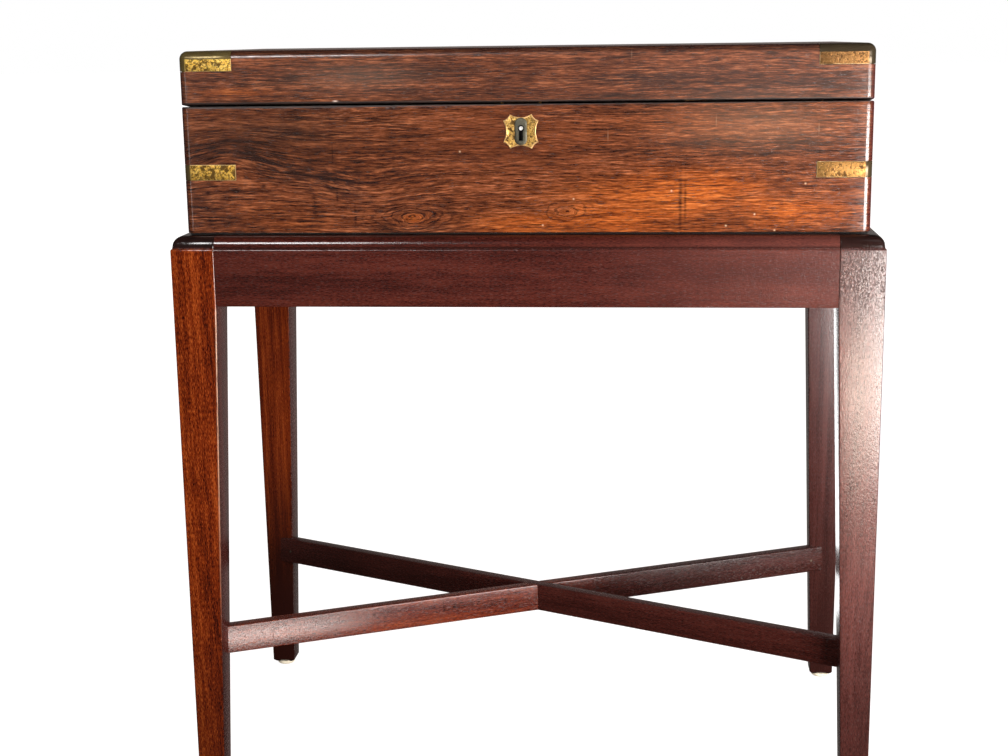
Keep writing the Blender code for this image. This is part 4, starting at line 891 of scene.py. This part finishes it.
def brass_finish(name, gold, brown, worn, speck_start, relief, fineness=1.0):
    """Aged brass: gold metal, pale flecks, brown cloud, dark tarnish specks, and fine scratches.

    A lower speck_start gives more specks; relief is the depth of the rough casting in metres; a
    higher fineness gives smaller marks. The first grain value is 1 where the plate bends round an
    edge: there it is smoother and painted olive-dark as shade. The second is 1 on a rim that is rubbed bright.
    """
    made, shader, place = new_finish(name)
    bend, rubbed, _ = split(grain_of(place))
    x, _, z = split(place)
    right = smooth(x, -0.10, 0.15)
    low_left = smooth(z, 0.55, 0.50) * (1 - right)
    cloud = smooth(noise(place, 150 * fineness, 4, 0.6), 0.38, 0.64)
    speck = noise(place, 430 * fineness, 4, 0.7) - 0.02 * right + 0.015 * low_left
    speck = smooth(speck, speck_start - 0.02, speck_start + 0.07)
    blot = noise(place, 165 * fineness, 4, 0.66) - 0.05 * right + 0.02 * low_left
    blot = smooth(blot, speck_start, speck_start + 0.085)
    dark = place.math("MAXIMUM", speck * 0.85, blot) * (1 - 0.85 * bend) * (1 - 0.7 * rubbed)
    scratch = noise(place, (300, 300, 4200), 2)
    color = mix(cloud * 0.75, (*gold, 1), (*brown, 1))
    pale = smooth(noise(place, 560 * fineness, 3, 0.6), 0.50, 0.66)
    pale_gold = [min(1.0, value * gain) for value, gain in zip(gold, (1.1, 1.25, 2.6))]
    color = mix(pale * 0.6, color, (*pale_gold, 1))
    # the right-hand plates are browner, most of all on the lid, and the low left ones a little
    color = mix(right * 0.88, color, (0.26, 0.120, 0.043, 1))
    color = mix(low_left * 0.45, color, (0.38, 0.19, 0.022, 1))
    color = mix(right * smooth(z, 0.53, 0.56) * 0.55, color, (0.120, 0.055, 0.027, 1))
    color = mix(dark * 0.94, color, (0.052, 0.022, 0.004, 1))
    # painted shade: the bends are painted dark olive
    color = mix(bend * 0.9, color, (0.032, 0.029, 0.019, 1))
    color = mix(rubbed * (1 - bend) * 0.60, color, (*worn, 1))
    rough = (0.36 - 0.10 * right + 0.12 * cloud + 0.25 * dark + 0.06 * scratch) * (1 - 0.5 * bend)
    skin = bump((1 - dark) + 0.25 * scratch + 0.9 * noise(place, 800, 2), relief)
    settle(shader, {
        "Base Color": color, "Metallic": (1 - 0.45 * dark) * (1 - 0.6 * bend), "Roughness": rough,
        "Normal": skin, "Specular IOR Level": 0.2,
    })
    return made


bright_brass = []
aged_brass = brass_finish(
    "aged_brass", (0.96, 0.63, 0.12), (0.64, 0.35, 0.055), (1, 0.80, 0.46), 0.50, 0.00006, 1.3,
)


def border(rows, columns):
    """Point numbers round the rim of a grid, in order."""
    numbers = np.arange(rows * columns).reshape(rows, columns)
    return np.concatenate([numbers[0, :-1], numbers[:-1, -1], numbers[-1, :0:-1], numbers[:0:-1, 0]])


def slab(outer, inner):
    """Two like grids of points closed along their rims into one thin plate."""
    rows, columns = outer.shape[:2]
    count = rows * columns
    skin, rim = lattice(rows, columns), border(rows, columns)
    after = np.roll(rim, -1)
    edge = np.stack([rim, after, after + count, rim + count], axis=-1)
    faces = np.concatenate([skin, skin[:, ::-1] + count, edge])
    return np.concatenate([outer.reshape(-1, 3), inner.reshape(-1, 3)]), faces.tolist()


def strap_columns(right, rear):
    """Column numbers of one corner's strap, in order round the corner."""
    mine = on_corner & (x_sign == right) & (y_sign == rear)
    mine |= front_or_back & (y_sign == rear) & (right * fixed > HALF_X - STRAP_END - HAIR / 2)
    mine |= on_side & (x_sign == right) & (rear * fixed > HALF_Y - STRAP_END - HAIR / 2)
    numbers = np.flatnonzero(mine)
    jump = np.flatnonzero(np.diff(numbers) > 1)
    return np.roll(numbers, -(jump[0] + 1)) if len(jump) else numbers


def strap(name, arrays, first, last, right, rear, body):
    """A plate over some rows of the case's own surface, flush with it, its rim eased.

    Its grain marks the bends in the first value and the rim in the second.
    """
    rows, picked = np.arange(first, last + 1), strap_columns(right, rear)
    plate = np.ix_(rows, picked)
    ease = np.zeros(arrays[0].shape)
    ease[np.ix_([first, last], picked)] = STRAP_EASE
    ease[np.ix_(rows, picked[[0, -1]])] = STRAP_EASE
    outer = case_points(arrays, ease)[plate]
    inner = case_points(arrays, np.full(ease.shape, STRAP_PLATE))[plate]
    bent = np.maximum(np.abs(np.sin(2 * facing_angle)) > 0.1, np.sin(2 * arrays[6]) > 0.005)[plate]
    wear = np.zeros((2, bent.size, 3))
    wear[..., 0] = bent.reshape(-1)
    wear[..., 1] = (ease > 0)[plate].reshape(-1)
    made = put(name, *slab(outer, inner), [aged_brass], grain=wear, crease=50)
    bright_brass.append(made)
    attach(made, body)
    return made


first, last = base_strap_rows + 2, base_strap_rows + 6
for corner, rear, right in CORNERS:
    made = strap(f"corner_strap_base_{corner}", base_arrays, first, last, right, rear, "lap_desk_base")
    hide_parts(f"base_strap_{corner}")

# Strap pins: small round brass nails, one through each leg of every strap into the wood.
# They are filed nearly flush and have gone darker than the straps.
PIN_RADIUS, PIN_PROUD, PIN_DEPTH, PIN_FROM_CORNER = 0.0009, 0.00012, 0.0006, 0.028
dark_brass = brass_finish(
    "dark_brass", (0.30, 0.19, 0.060), (0.16, 0.095, 0.030), (0.58, 0.36, 0.17), 0.52, 0.00004,
)


def strap_pins(label, level, body):
    """Two nails to a corner, one in each leg of its strap, at one level."""
    points, faces = nail(PIN_RADIUS, PIN_PROUD, PIN_DEPTH, 16)
    second = [[number + len(points) for number in face] for face in faces]
    for corner, rear, right in CORNERS:
        in_wall = driven(points, (0, rear), (right * (HALF_X - PIN_FROM_CORNER), rear * HALF_Y, level))
        in_side = driven(points, (right, 0), (right * HALF_X, rear * (HALF_Y - PIN_FROM_CORNER), level))
        both = np.concatenate([in_wall, in_side])
        made = put(f"strap_pins_{label}_{corner}", both, faces + second, [dark_brass], crease=60)
        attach(made, body)


strap_pins("base", BASE_STRAP_MIDDLE, "lap_desk_base")

# Escutcheon: a cast brass plate of eight points with hollow sides, set in the front round the keyhole.
# A steel plate with the keyhole stands in its middle, and the lock's drill pin shows in the hole.
ESCUTCHEON_Z, ESCUTCHEON_RIM, SPOKES = 0.5202, 0.0012, 24
KEYHOLE_Z, KEYHOLE_RADIUS, KEYHOLE_SLOT, KEYHOLE_DROP, KEYHOLE_NECK = 0.5224, 0.00245, 0.003, 0.0089, 0.0019
EAR, HORN = (0.0130, 0.0079), (0.0080, 0.0125)
SIDE_SAG, END_SAG, CORNER_SAG = 0.0020, 0.0023, 0.0008
PLATE_HALF, PLATE_ROUND = (0.00455, 0.0099), 0.0043
cast_brass = brass_finish(
    "cast_brass", (0.86, 0.55, 0.14), (0.46, 0.28, 0.065), (0.58, 0.36, 0.17), 0.51, 0.00014, 2.2,
)


def escutcheon_outline(steps=10):
    """Eight points joined by shallow arcs: each sinks by four times its sag times t(1-t)."""
    ear, horn = np.array(EAR), np.array(HORN)
    corners = np.array([
        (ear[0], -ear[1]), ear, horn, (-horn[0], horn[1]),
        (-ear[0], ear[1]), -ear, -horn, (horn[0], -horn[1]),
    ])
    sag = np.tile([SIDE_SAG, CORNER_SAG, END_SAG, CORNER_SAG], 2)[:, None, None]
    run = (np.roll(corners, -1, axis=0) - corners)[:, None, :]
    inward = np.stack([-run[..., 1], run[..., 0]], axis=-1)
    inward = inward / np.linalg.norm(inward, axis=-1, keepdims=True)
    t = np.linspace(0, 1, steps, endpoint=False)[None, :, None]
    return (corners[:, None, :] + run * t + inward * sag * 4 * t * (1 - t)).reshape(-1, 2)


def rounded_outline(half_x, half_z, radius):
    """A rounded rectangle about the origin."""
    edges = (np.array([edge]) for edge in (-half_x, half_x, -half_z, half_z))
    return ring(*edges, np.full((1, 4), radius), steps=10)[0]


def keyhole_outline():
    """A round hole over a slot, about the hole's middle: an arc open below, then the slot's two corners."""
    half = KEYHOLE_SLOT / 2
    neck = math.asin(half / KEYHOLE_RADIUS)
    turn = np.linspace(-np.pi / 2 + neck, 1.5 * np.pi - neck, 40)
    hole = KEYHOLE_RADIUS * np.stack([np.cos(turn), np.sin(turn)], axis=-1)
    return np.concatenate([hole, [(-half, -KEYHOLE_DROP), (half, -KEYHOLE_DROP)]])


def polar(outline, middle, angles):
    """An outline seen from a point inside it, as its distance at each angle."""
    away = outline - middle
    turn = np.arctan2(away[:, 1], away[:, 0])
    order = np.argsort(turn)
    start, end = away[order], np.roll(away[order], -1, axis=0)
    turn = turn[order]
    index = (np.searchsorted(turn, angles, side="right") - 1) % len(turn)
    ray = np.stack([np.cos(angles), np.sin(angles)], axis=-1)
    first, run = start[index], end[index] - start[index]
    cross = run[:, 1] * ray[:, 0] - run[:, 0] * ray[:, 1]
    return (run[:, 1] * first[:, 0] - run[:, 0] * first[:, 1]) / cross


def pierced_plate(name, inside, outside, middle, rows, materials):
    """A plate between two outlines: rows of (share outwards, trim, height off the front) carried round them.

    Its columns lie at the outlines' own corners and at even spokes, less those that nearly coincide.
    """
    corner = np.concatenate([outside, inside]) - middle
    spokes = np.linspace(-np.pi, np.pi, SPOKES, endpoint=False)
    angles = np.unique(np.round(np.concatenate([np.arctan2(corner[:, 1], corner[:, 0]), spokes]), 5))
    angles = angles[np.concatenate([[True], np.diff(angles) > 0.004])]
    near, far = polar(inside, middle, angles), polar(outside, middle, angles)
    share, trim, proud = (np.array(rows)[:, axis][:, None] for axis in (0, 1, 2))
    reach = near + (far - near) * share + trim
    points = np.stack([
        middle[0] + reach * np.cos(angles), np.broadcast_to(-HALF_Y - proud, reach.shape),
        ESCUTCHEON_Z + middle[1] + reach * np.sin(angles),
    ], axis=-1)
    rubbed = np.zeros(points.shape)
    rubbed[..., 1] = (share == 1) & (trim > -ESCUTCHEON_RIM)
    faces = lattice(len(rows), len(angles), wrap_rows=True, wrap_columns=True).tolist()
    return put(name, points, faces, materials, grain=rubbed, crease=38)


plate_shape = rounded_outline(*PLATE_HALF, PLATE_ROUND)
escutcheon = pierced_plate("escutcheon_plate", plate_shape, escutcheon_outline(), np.zeros(2), [
    (0, 0.00005, -0.0007), (0, 0.00005, 0.0001), (0.08, 0, 0.00025), (0.50, 0, 0.0002), (1, -0.0014, 0.0002),
    (1, -0.0011, 0.0004), (1, -0.0003, 0.0004), (1, -0.0001, 0.0003), (1, 0, 0.00005), (1, 0, -0.0007),
], [cast_brass])
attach(escutcheon, "lap_desk_base")
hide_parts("escutcheon")
bright_brass.append(escutcheon)
neck_middle = np.array([0, KEYHOLE_Z - ESCUTCHEON_Z - KEYHOLE_NECK])
hole_shape = keyhole_outline() + [0, KEYHOLE_Z - ESCUTCHEON_Z]
keyhole_plate = pierced_plate("keyhole_plate_steel", hole_shape, plate_shape, neck_middle, [
    (0, 0, -0.0008), (0, 0, 0.0009), (0, 0.0002, 0.00108), (0.45, 0, 0.0011), (0.85, 0, 0.0010),
    (1, -0.0003, 0.00085), (1, -0.00008, 0.0006), (1, 0, 0.0003), (1, 0, -0.0008),
], [dull_steel])
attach(keyhole_plate, "lap_desk_base")
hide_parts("keyhole_plate")

# Lock, bolt, catch, hinges and ink caps: small machined brass and steel work, mostly let into the wood.
# These pieces keep their CAD solids and get a finish.


def dress(material, *names):
    """Gives CAD nodes a finish in place of their plain one."""
    for name in names:
        nodes[name].data.materials.clear()
        nodes[name].data.materials.append(material)


dress(dark_brass, "lock_case", "hook_plate", "flap_catch")
dress(aged_brass, "inkwell_cap_left", "inkwell_cap_right")
dress(aged_brass, *(f"hinge_{leaf}_{hand}" for leaf in ("base", "lid", "pin") for hand in HANDS))
dress(dull_steel, "lock_bolt")
dress(steel_finish("rubbed_steel", (0.90, 0.89, 0.86), (0.45, 0.42, 0.38)), "lock_pin")

# Inside: bottom board, dividers, the scooped pen tray and the two writing flaps, in waxed wood.
# The boards' grain runs along the box. These pieces keep their CAD solids too.
dress(inner_board_wood, "base_bottom", "pen_tray", "base_flap", "lid_flap")
dress(inner_wall_wood, "tray_divider", "well_divider_left", "well_divider_right")

# Ink bottles: square pressed glass with a round neck, slightly green, under brass caps.
# They stand loose in their wells.


def glass_finish():
    """Old pressed glass: clear, faintly green, with shallow ripples."""
    made, shader, place = new_finish("bottle_glass")
    tint = mix(noise(place, 60), (0.80, 0.92, 0.88, 1), (0.88, 0.95, 0.93, 1))
    settle(shader, {
        "Base Color": tint, "Roughness": 0.04 + 0.05 * noise(place, 150),
        "Normal": bump(noise(place, 130, 2), 0.0002), "Transmission Weight": 0.92, "IOR": 1.5,
    })
    return made


dress(glass_finish(), "inkwell_left", "inkwell_right")

# Baize: a green wool cloth glued under the base, cut 2 mm short of it all round.
# It keeps the box from scratching what it stands on.
BAIZE_LOW, BAIZE_THICK, BAIZE_X, BAIZE_Y, SHEET_RIM = 0.4448, 0.0010, 0.252, 0.12525, 0.0004


def baize_finish():
    """Green wool baize: felted fibres and a soft sheen."""
    made, shader, place = new_finish("green_baize")
    fibre = noise(place, 1900, 3, 0.7)
    worn = noise(place, 38, 3)
    color = mix(fibre, (0.004, 0.013, 0.007, 1), (0.012, 0.036, 0.018, 1))
    color = mix(smooth(worn, 0.5, 0.75) * 0.4, color, (0.018, 0.028, 0.016, 1))
    x, y, _ = split(place)
    # painted shade: the cloth darkens to near black at its rim, under the box's edge
    from_rim = place.math("MINIMUM", BAIZE_X - abs(x), BAIZE_Y - abs(y))
    color = mix(smooth(from_rim, 0.003, 0.0005), color, (0.003, 0.003, 0.0025, 1))
    settle(shader, {"Base Color": color, "Roughness": 0.95, "Sheen Weight": 0.1, "Normal": bump(fibre, 0.0004)})
    return made


def sheet_lines(half, count):
    """Even grid lines from edge to edge, with one more just inside each edge."""
    even = np.linspace(-half, half, count)[1:-1]
    return np.concatenate([[-half, -half + SHEET_RIM], even, [half - SHEET_RIM, half]])


def pad(x_half, y_half, low, thick):
    """A thin flat pad: a grid whose upper and lower skins pull in at a softened rim."""
    y_grid, x_grid = np.meshgrid(sheet_lines(y_half, 14), sheet_lines(x_half, 24), indexing="ij")
    rim = np.minimum(x_half - np.abs(x_grid), y_half - np.abs(y_grid)) < SHEET_RIM / 2
    ease = np.where(rim, thick * 0.3, 0)
    upper = np.stack([x_grid, y_grid, low + thick - ease], axis=-1)
    lower = np.stack([x_grid, y_grid, low + ease], axis=-1)
    return upper, lower


baize = put("base_baize", *slab(*pad(BAIZE_X, BAIZE_Y, BAIZE_LOW, BAIZE_THICK)), [baize_finish()])
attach(baize, "lap_desk_base")
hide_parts("base_pad")

# Writing leathers: two dark green skins, pared thin, glued into the two writing flaps.
# One plain gilt line is tooled near the edge of each.
LEATHER_THICK, GILT_FROM_EDGE, GILT_HALF = 0.0009, 0.0085, 0.0006


def leather_finish(middle, x_half, y_half, name):
    """Green goatskin: fine pebbled grain, rubbed paler in the middle, with a gilt line inside its edge."""
    made, shader, place = new_finish(name)
    level = place.node("Mapping", {"vector_type": "TEXTURE"}, {
        "Vector": place, "Location": middle, "Rotation": (-SLOPE, 0, 0),
    })
    x, y, _ = split(level)
    inside = place.math("MINIMUM", x_half - abs(x), y_half - abs(y))
    line = 1 - smooth(abs(inside - GILT_FROM_EDGE), GILT_HALF * 0.8, GILT_HALF * 1.2)
    line = line * smooth(noise(place, 420, 3), 0.30, 0.45)
    pebble = place.node("TexVoronoi", {"feature": "DISTANCE_TO_EDGE"}, {"Vector": place, "Scale": 900})
    crease = smooth(pebble, 0.0, 0.25)
    rubbed = smooth(noise(place, 14, 4) + 0.25 * smooth(inside, 0.02, 0.10), 0.45, 0.95)
    color = mix(rubbed, (0.016, 0.040, 0.020, 1), (0.060, 0.105, 0.050, 1))
    color = mix((1 - crease) * 0.5, color, (0.008, 0.018, 0.009, 1))
    ink = smooth(noise(place, 31, 5, 0.7), 0.66, 0.72)
    color = mix(ink * 0.7, color, (0.006, 0.008, 0.010, 1))
    color = mix(line, color, (0.72, 0.46, 0.13, 1))
    settle(shader, {
        "Base Color": color, "Metallic": line, "Roughness": 0.58 - 0.14 * rubbed - 0.15 * line,
        "Normal": bump(crease + 1.2 * (1 - line), 0.00008),
    })
    return made


def leather(name, body, node):
    """A skin on the seam's slope, its place and size taken from the CAD panel that it stands for."""
    low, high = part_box(node)
    middle_y = (low.y + high.y) / 2
    y_half = (high.y - low.y - LEATHER_THICK * math.sin(SLOPE)) / (2 * math.cos(SLOPE))
    x_half = (high.x - low.x) / 2
    middle = Vector((0, middle_y, (low.z + high.z) / 2))
    upper, lower = pad(x_half, y_half, -LEATHER_THICK / 2, LEATHER_THICK)
    tilt = np.array(Matrix.Rotation(-SLOPE, 3, "X"))
    points, faces = slab(upper @ tilt.T + np.array(middle), lower @ tilt.T + np.array(middle))
    made = put(name, points, faces, [leather_finish(middle, x_half, y_half, name)])
    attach(made, body)
    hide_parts(node)


leather("writing_leather_base", "lap_desk_base", "base_leather")
leather("writing_leather_lid", "lid", "lid_leather")

# Lid of the lap desk: a shallow rosewood case like the base, with its top board's edge rounded over.
# Its underside is cut to the same slope and carries the hook plate, the flap catch and the hinges.
LID_CEILING, LID_STRAP_LOW, LID_STRAP_LINE, LID_STRAP_REACH = 0.5726, 0.5659, 0.571, 0.0147
LID_ROUND_START, LID_WALL_TOP, TOP_CORNER = BOX_TOP - CASE_ROUND, LID_STRAP_LOW - 0.0005, 0.0005
LID_RIM_INSETS = [(0.006, 0.0104, 0.0090), (0.005, 0.01038, 0.0088), (0.004, 0.0046, 0.0086)]
LID_RIM_INSETS += [(0.003, 0.0045, 0.0084), (0.0026, 0.0026, 0.00832), (RIM_ARRIS, RIM_ARRIS, RIM_ARRIS)]
HOOK_CUT = (3, 0.01038, 0.0027), (4, 0.0046, 0.0027)
CATCH_INSETS = 0.0129, 0.010, 0.008, 0.006, 0.0045, 0.0027
CATCH_CUT = [(-1, 0.013, 0.00235)] + [(row, inset, 0.0023) for row, inset in enumerate(CATCH_INSETS)]
LID_RIM_ROWS = 10
LID_HINGE_CUT = [(LID_RIM_ROWS - row, inset, -offset) for row, inset, offset in HINGE_CUT]
lid_table = [inner_row(0, LID_CEILING), inner_row(0, 0, 1, RIM_LINE), inner_row(0, 0, 1, RIM_START)]
lid_rim = len(lid_table)
lid_table += [inner_row(RIM_EASE, 0, 1, RIM_TURN), inner_row(RIM_ARRIS, 0, 1, SEAM_HALF)]
lid_table += [rim_row(*insets, SEAM_HALF) for insets in LID_RIM_INSETS]
lid_table += [wall_row(RIM_EASE, 0, 1, RIM_TURN), wall_row(0, 0, 1, RIM_START), wall_row(0, 0, 1, RIM_LINE)]
lid_table += [wall_row(0, LID_WALL_TOP, share, RIM_LINE) for share in (0.8, 0.6, 0.4, 0.2)]
lid_strap_rows = len(lid_table)
lid_table += [wall_row(0, LID_STRAP_LOW + gap) for gap in STRAP_LINES]
lid_table += [wall_row(0, LID_STRAP_LINE), wall_row(0, LID_ROUND_START)]
lid_round = len(lid_table)
for turn in np.radians(np.concatenate([[0.3], np.linspace(10, 90, 9)])):
    inset = CASE_ROUND * (1 - math.cos(turn))
    radius = CASE_ROUND - (CASE_ROUND - TOP_CORNER) * inset / CASE_ROUND
    lid_table += [(inset, inset, inset, radius, LID_ROUND_START + CASE_ROUND * math.sin(turn), 0, 0, turn)]
lid_flat = len(lid_table)
for inset in LID_STRAP_REACH + np.array([-0.0052, -0.0003, 0, STRAP_GAP, STRAP_GAP + HAIR, 0.0033]):
    lid_table += [(inset, inset, inset, TOP_CORNER, BOX_TOP, 0, 0, np.pi / 2)]
lid_arrays = case_arrays(lid_table)
in_hook = at_front & (np.abs(fixed) < HOOK_HALF + HAIR / 2)
in_catch = at_front & (np.abs(fixed - CATCH_X) < CATCH_HALF + HAIR / 2)
carve(lid_arrays, lid_rim, in_hook, HOOK_CUT)
carve(lid_arrays, lid_rim, in_catch, CATCH_CUT)
carve(lid_arrays, lid_rim, in_hinge, LID_HINGE_CUT)
lid_sink = np.zeros((len(lid_table), len(kind)))
lid_sink[lid_strap_rows + 1:lid_flat + 4, strap_zone] = STRAP_DEPTH
lid_points = case_points(lid_arrays, lid_sink)
lid_face_rows = np.repeat(np.arange(len(lid_table) - 1), len(kind))
lid_kinds = [*np.where(lid_face_rows < lid_rim - 1, 1, 0), 1, 0]
lid_flow = np.stack([np.broadcast_to(veneer, lid_sink.shape), lid_points[..., 2], lid_sink * 0], axis=-1)
over = slice(lid_round, None)
arc_start = LID_ROUND_START + CASE_ROUND * np.pi / 2 + HALF_Y - CASE_ROUND
lid_flow[over, :, 0] = lid_points[over, :, 0]
lid_flow[over, :, 1] = lid_points[over, :, 1] + arc_start
front_arc = LID_ROUND_START + CASE_ROUND * lid_arrays[6][lid_round:lid_flat]
lid_flow[lid_round:lid_flat, :, 1] = np.where(at_front, front_arc, lid_flow[lid_round:lid_flat, :, 1])
lid_case = put(
    "lid_case", lid_points, tube(*lid_sink.shape), [rosewood, inner_wall_wood],
    grain=lid_flow, kinds=lid_kinds, crease=40,
)
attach(lid_case, "lid")
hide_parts("lid_top", "lid_front", "lid_back", "lid_left", "lid_right")
first, last = lid_strap_rows + 2, lid_flat + 2
for corner, rear, right in CORNERS:
    made = strap(f"corner_strap_lid_{corner}", lid_arrays, first, last, right, rear, "lid")
    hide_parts(f"lid_strap_{corner}")
strap_pins("lid", (LID_STRAP_LOW + LID_ROUND_START) / 2, "lid")

# Stage: a pale floor, white surroundings, a wide low window at the right, soft boxes and the camera.
# None of it is part of the object. Some boxes are flagged so that they fall on a few pieces only.
FLOOR_SIZE = 30.0
SENSOR_WIDTH, LENS = 36.0, 57.2
CAMERA_PLACE, CAMERA_TURNS = (0.0986, -1.3051, 0.5871), (11.982, 5.500, -0.767)
floor_corners = [(x * FLOOR_SIZE, y * FLOOR_SIZE, 0) for x, y in ((-1, -1), (1, -1), (1, 1), (-1, 1))]
floor_mesh = bpy.data.meshes.new("floor")
floor_mesh.from_pydata(floor_corners, [], [(0, 1, 2, 3)])
floor = bpy.data.objects.new("floor", floor_mesh)
bpy.context.scene.collection.objects.link(floor)
floor_paint, shader, place = new_finish("floor_paint")
far = place.node("VectorMath", {"operation": "LENGTH"}, {0: place}, output=1)
settle(shader, {
    "Base Color": mix(noise(place, 3), (0.33, 0.33, 0.33, 1), (0.36, 0.36, 0.36, 1)), "Roughness": 0.6,
    "Emission Color": mix(smooth(far, 0.5, 2.2), (0.86, 0.86, 0.86, 1), (1, 1, 1, 1)), "Emission Strength": 1.0,
})
floor_mesh.materials.append(floor_paint)
floor.visible_glossy = floor.visible_diffuse = False

# The camera sees plain white, and varnish and brass mirror a dim room with a paler back and sides.
# Dull surfaces get a soft light, mostly from behind and from the left.
world = bpy.data.worlds.new("studio")
bpy.context.scene.world = world
world.use_nodes = True
sky = Tone(world.node_tree)
seen = sky.node("LightPath", {}, {})
shiny = Tone(world.node_tree, seen.socket.node.outputs["Is Glossy Ray"])
side, deep, up = split(sky.node("TexCoord", {}, {}))
sides = smooth(abs(side), 0.80, 0.97) * 0.08
room = 0.02 + 0.03 * smooth(deep, -0.72, -0.97) + 0.20 * smooth(deep, 0.75, 0.97) + sides
soft = 0.06 + 0.12 * smooth(up, -0.2, 0.8) + 1.3 * smooth(deep, 0.0, 0.7) + 0.35 * smooth(side, -0.3, -0.9)
strength = soft + shiny * (room - soft)
strength = strength + seen * (1.0 - strength)
back = world.node_tree.nodes["Background"]
settle(back, {"Color": mix(seen, (1, 0.90, 0.85, 1), (1, 1, 1, 1)), "Strength": strength})


def softbox(name, place, aim, size, glow, color=(1, 1, 1), only=()):
    """A rectangular soft light at a place, turned to a point, with so much radiance over its face.

    Where only names pieces, the light is flagged off from all others.
    """
    lamp = bpy.data.lights.new(name, "AREA")
    lamp.shape = "RECTANGLE"
    lamp.size, lamp.size_y = size
    lamp.energy = glow * math.pi * size[0] * size[1]
    lamp.color = color
    made = bpy.data.objects.new(name, lamp)
    made.location = place
    made.rotation_euler = (Vector(aim) - Vector(place)).to_track_quat("-Z", "Y").to_euler()
    made.visible_camera = False
    bpy.context.scene.collection.objects.link(made)
    if only:
        flagged = bpy.data.collections.new(f"{name}_falls_on")
        for piece in only:
            flagged.objects.link(piece)
        made.light_linking.receiver_collection = flagged


softbox("window", (1.45, -1.75, 0.23), (0.1, 0, 0.30), (1.3, 0.46), 25, (1.0, 0.94, 0.90))
softbox("top_left", (-0.59, -1.47, 1.35), (-0.20, -0.12, 0.57), (0.34, 0.42), 28)
softbox("top_right", (1.2, -1.2, 2.2), (0.1, 0, 0.40), (1.2, 1.2), 0.5)
softbox("right_fill", (0.62, -0.62, 0.32), (0.20, -0.13, 0.40), (0.40, 0.40), 19, (1.0, 0.98, 0.96))
softbox("left_strip", (-1.08, -1.37, 0.36), (-0.25, -0.13, 0.48), (0.09, 0.7), 9, only=[base_case, lid_case])
softbox("brass_card", (-0.52, -2.20, 0.45), (-0.10, -0.13, 0.50), (1.75, 1.0), 0.92, only=bright_brass)
softbox(
    "floor_patch", (0.50, -2.20, 0.02), (0.50, -2.20, 1.0), (0.65, 2.2), 26, (1.0, 0.82, 0.69),
    only=washed_legs[:1],
)
softbox(
    "rear_patch", (0.50, -2.05, 0.02), (0.50, -2.05, 1.0), (0.65, 2.4), 7.5, (1.0, 0.88, 0.84),
    only=washed_legs[1:],
)
softbox("back_strip", (0.10, 1.25, 0.01), (0.10, 1.25, 1.0), (0.24, 2.0), 4, only=washed_legs[:1])
softbox(
    "near_patch", (-0.04, -0.37, 0.01), (-0.10, -0.10, 0.30), (0.20, 0.10), 18, (1.0, 0.95, 0.90),
    only=washed_bars,
)
bpy.context.scene.view_settings.view_transform = "Standard"

camera_data = bpy.data.cameras.new("camera")
camera = bpy.data.objects.new("camera", camera_data)
bpy.context.scene.collection.objects.link(camera)
bpy.context.scene.camera = camera
camera_data.sensor_width, camera_data.lens = SENSOR_WIDTH, LENS
pitch, yaw, roll = (math.radians(angle) for angle in CAMERA_TURNS)
forward = Vector((-math.sin(yaw) * math.cos(pitch), math.cos(yaw) * math.cos(pitch), -math.sin(pitch)))
level = Vector((math.cos(yaw), math.sin(yaw), 0))
upward = level.cross(forward)
across = level * math.cos(roll) + upward * math.sin(roll)
lift = upward * math.cos(roll) - level * math.sin(roll)
turned_to = Matrix((across, lift, -forward)).transposed().to_4x4()
camera.matrix_world = Matrix.Translation(CAMERA_PLACE) @ turned_to
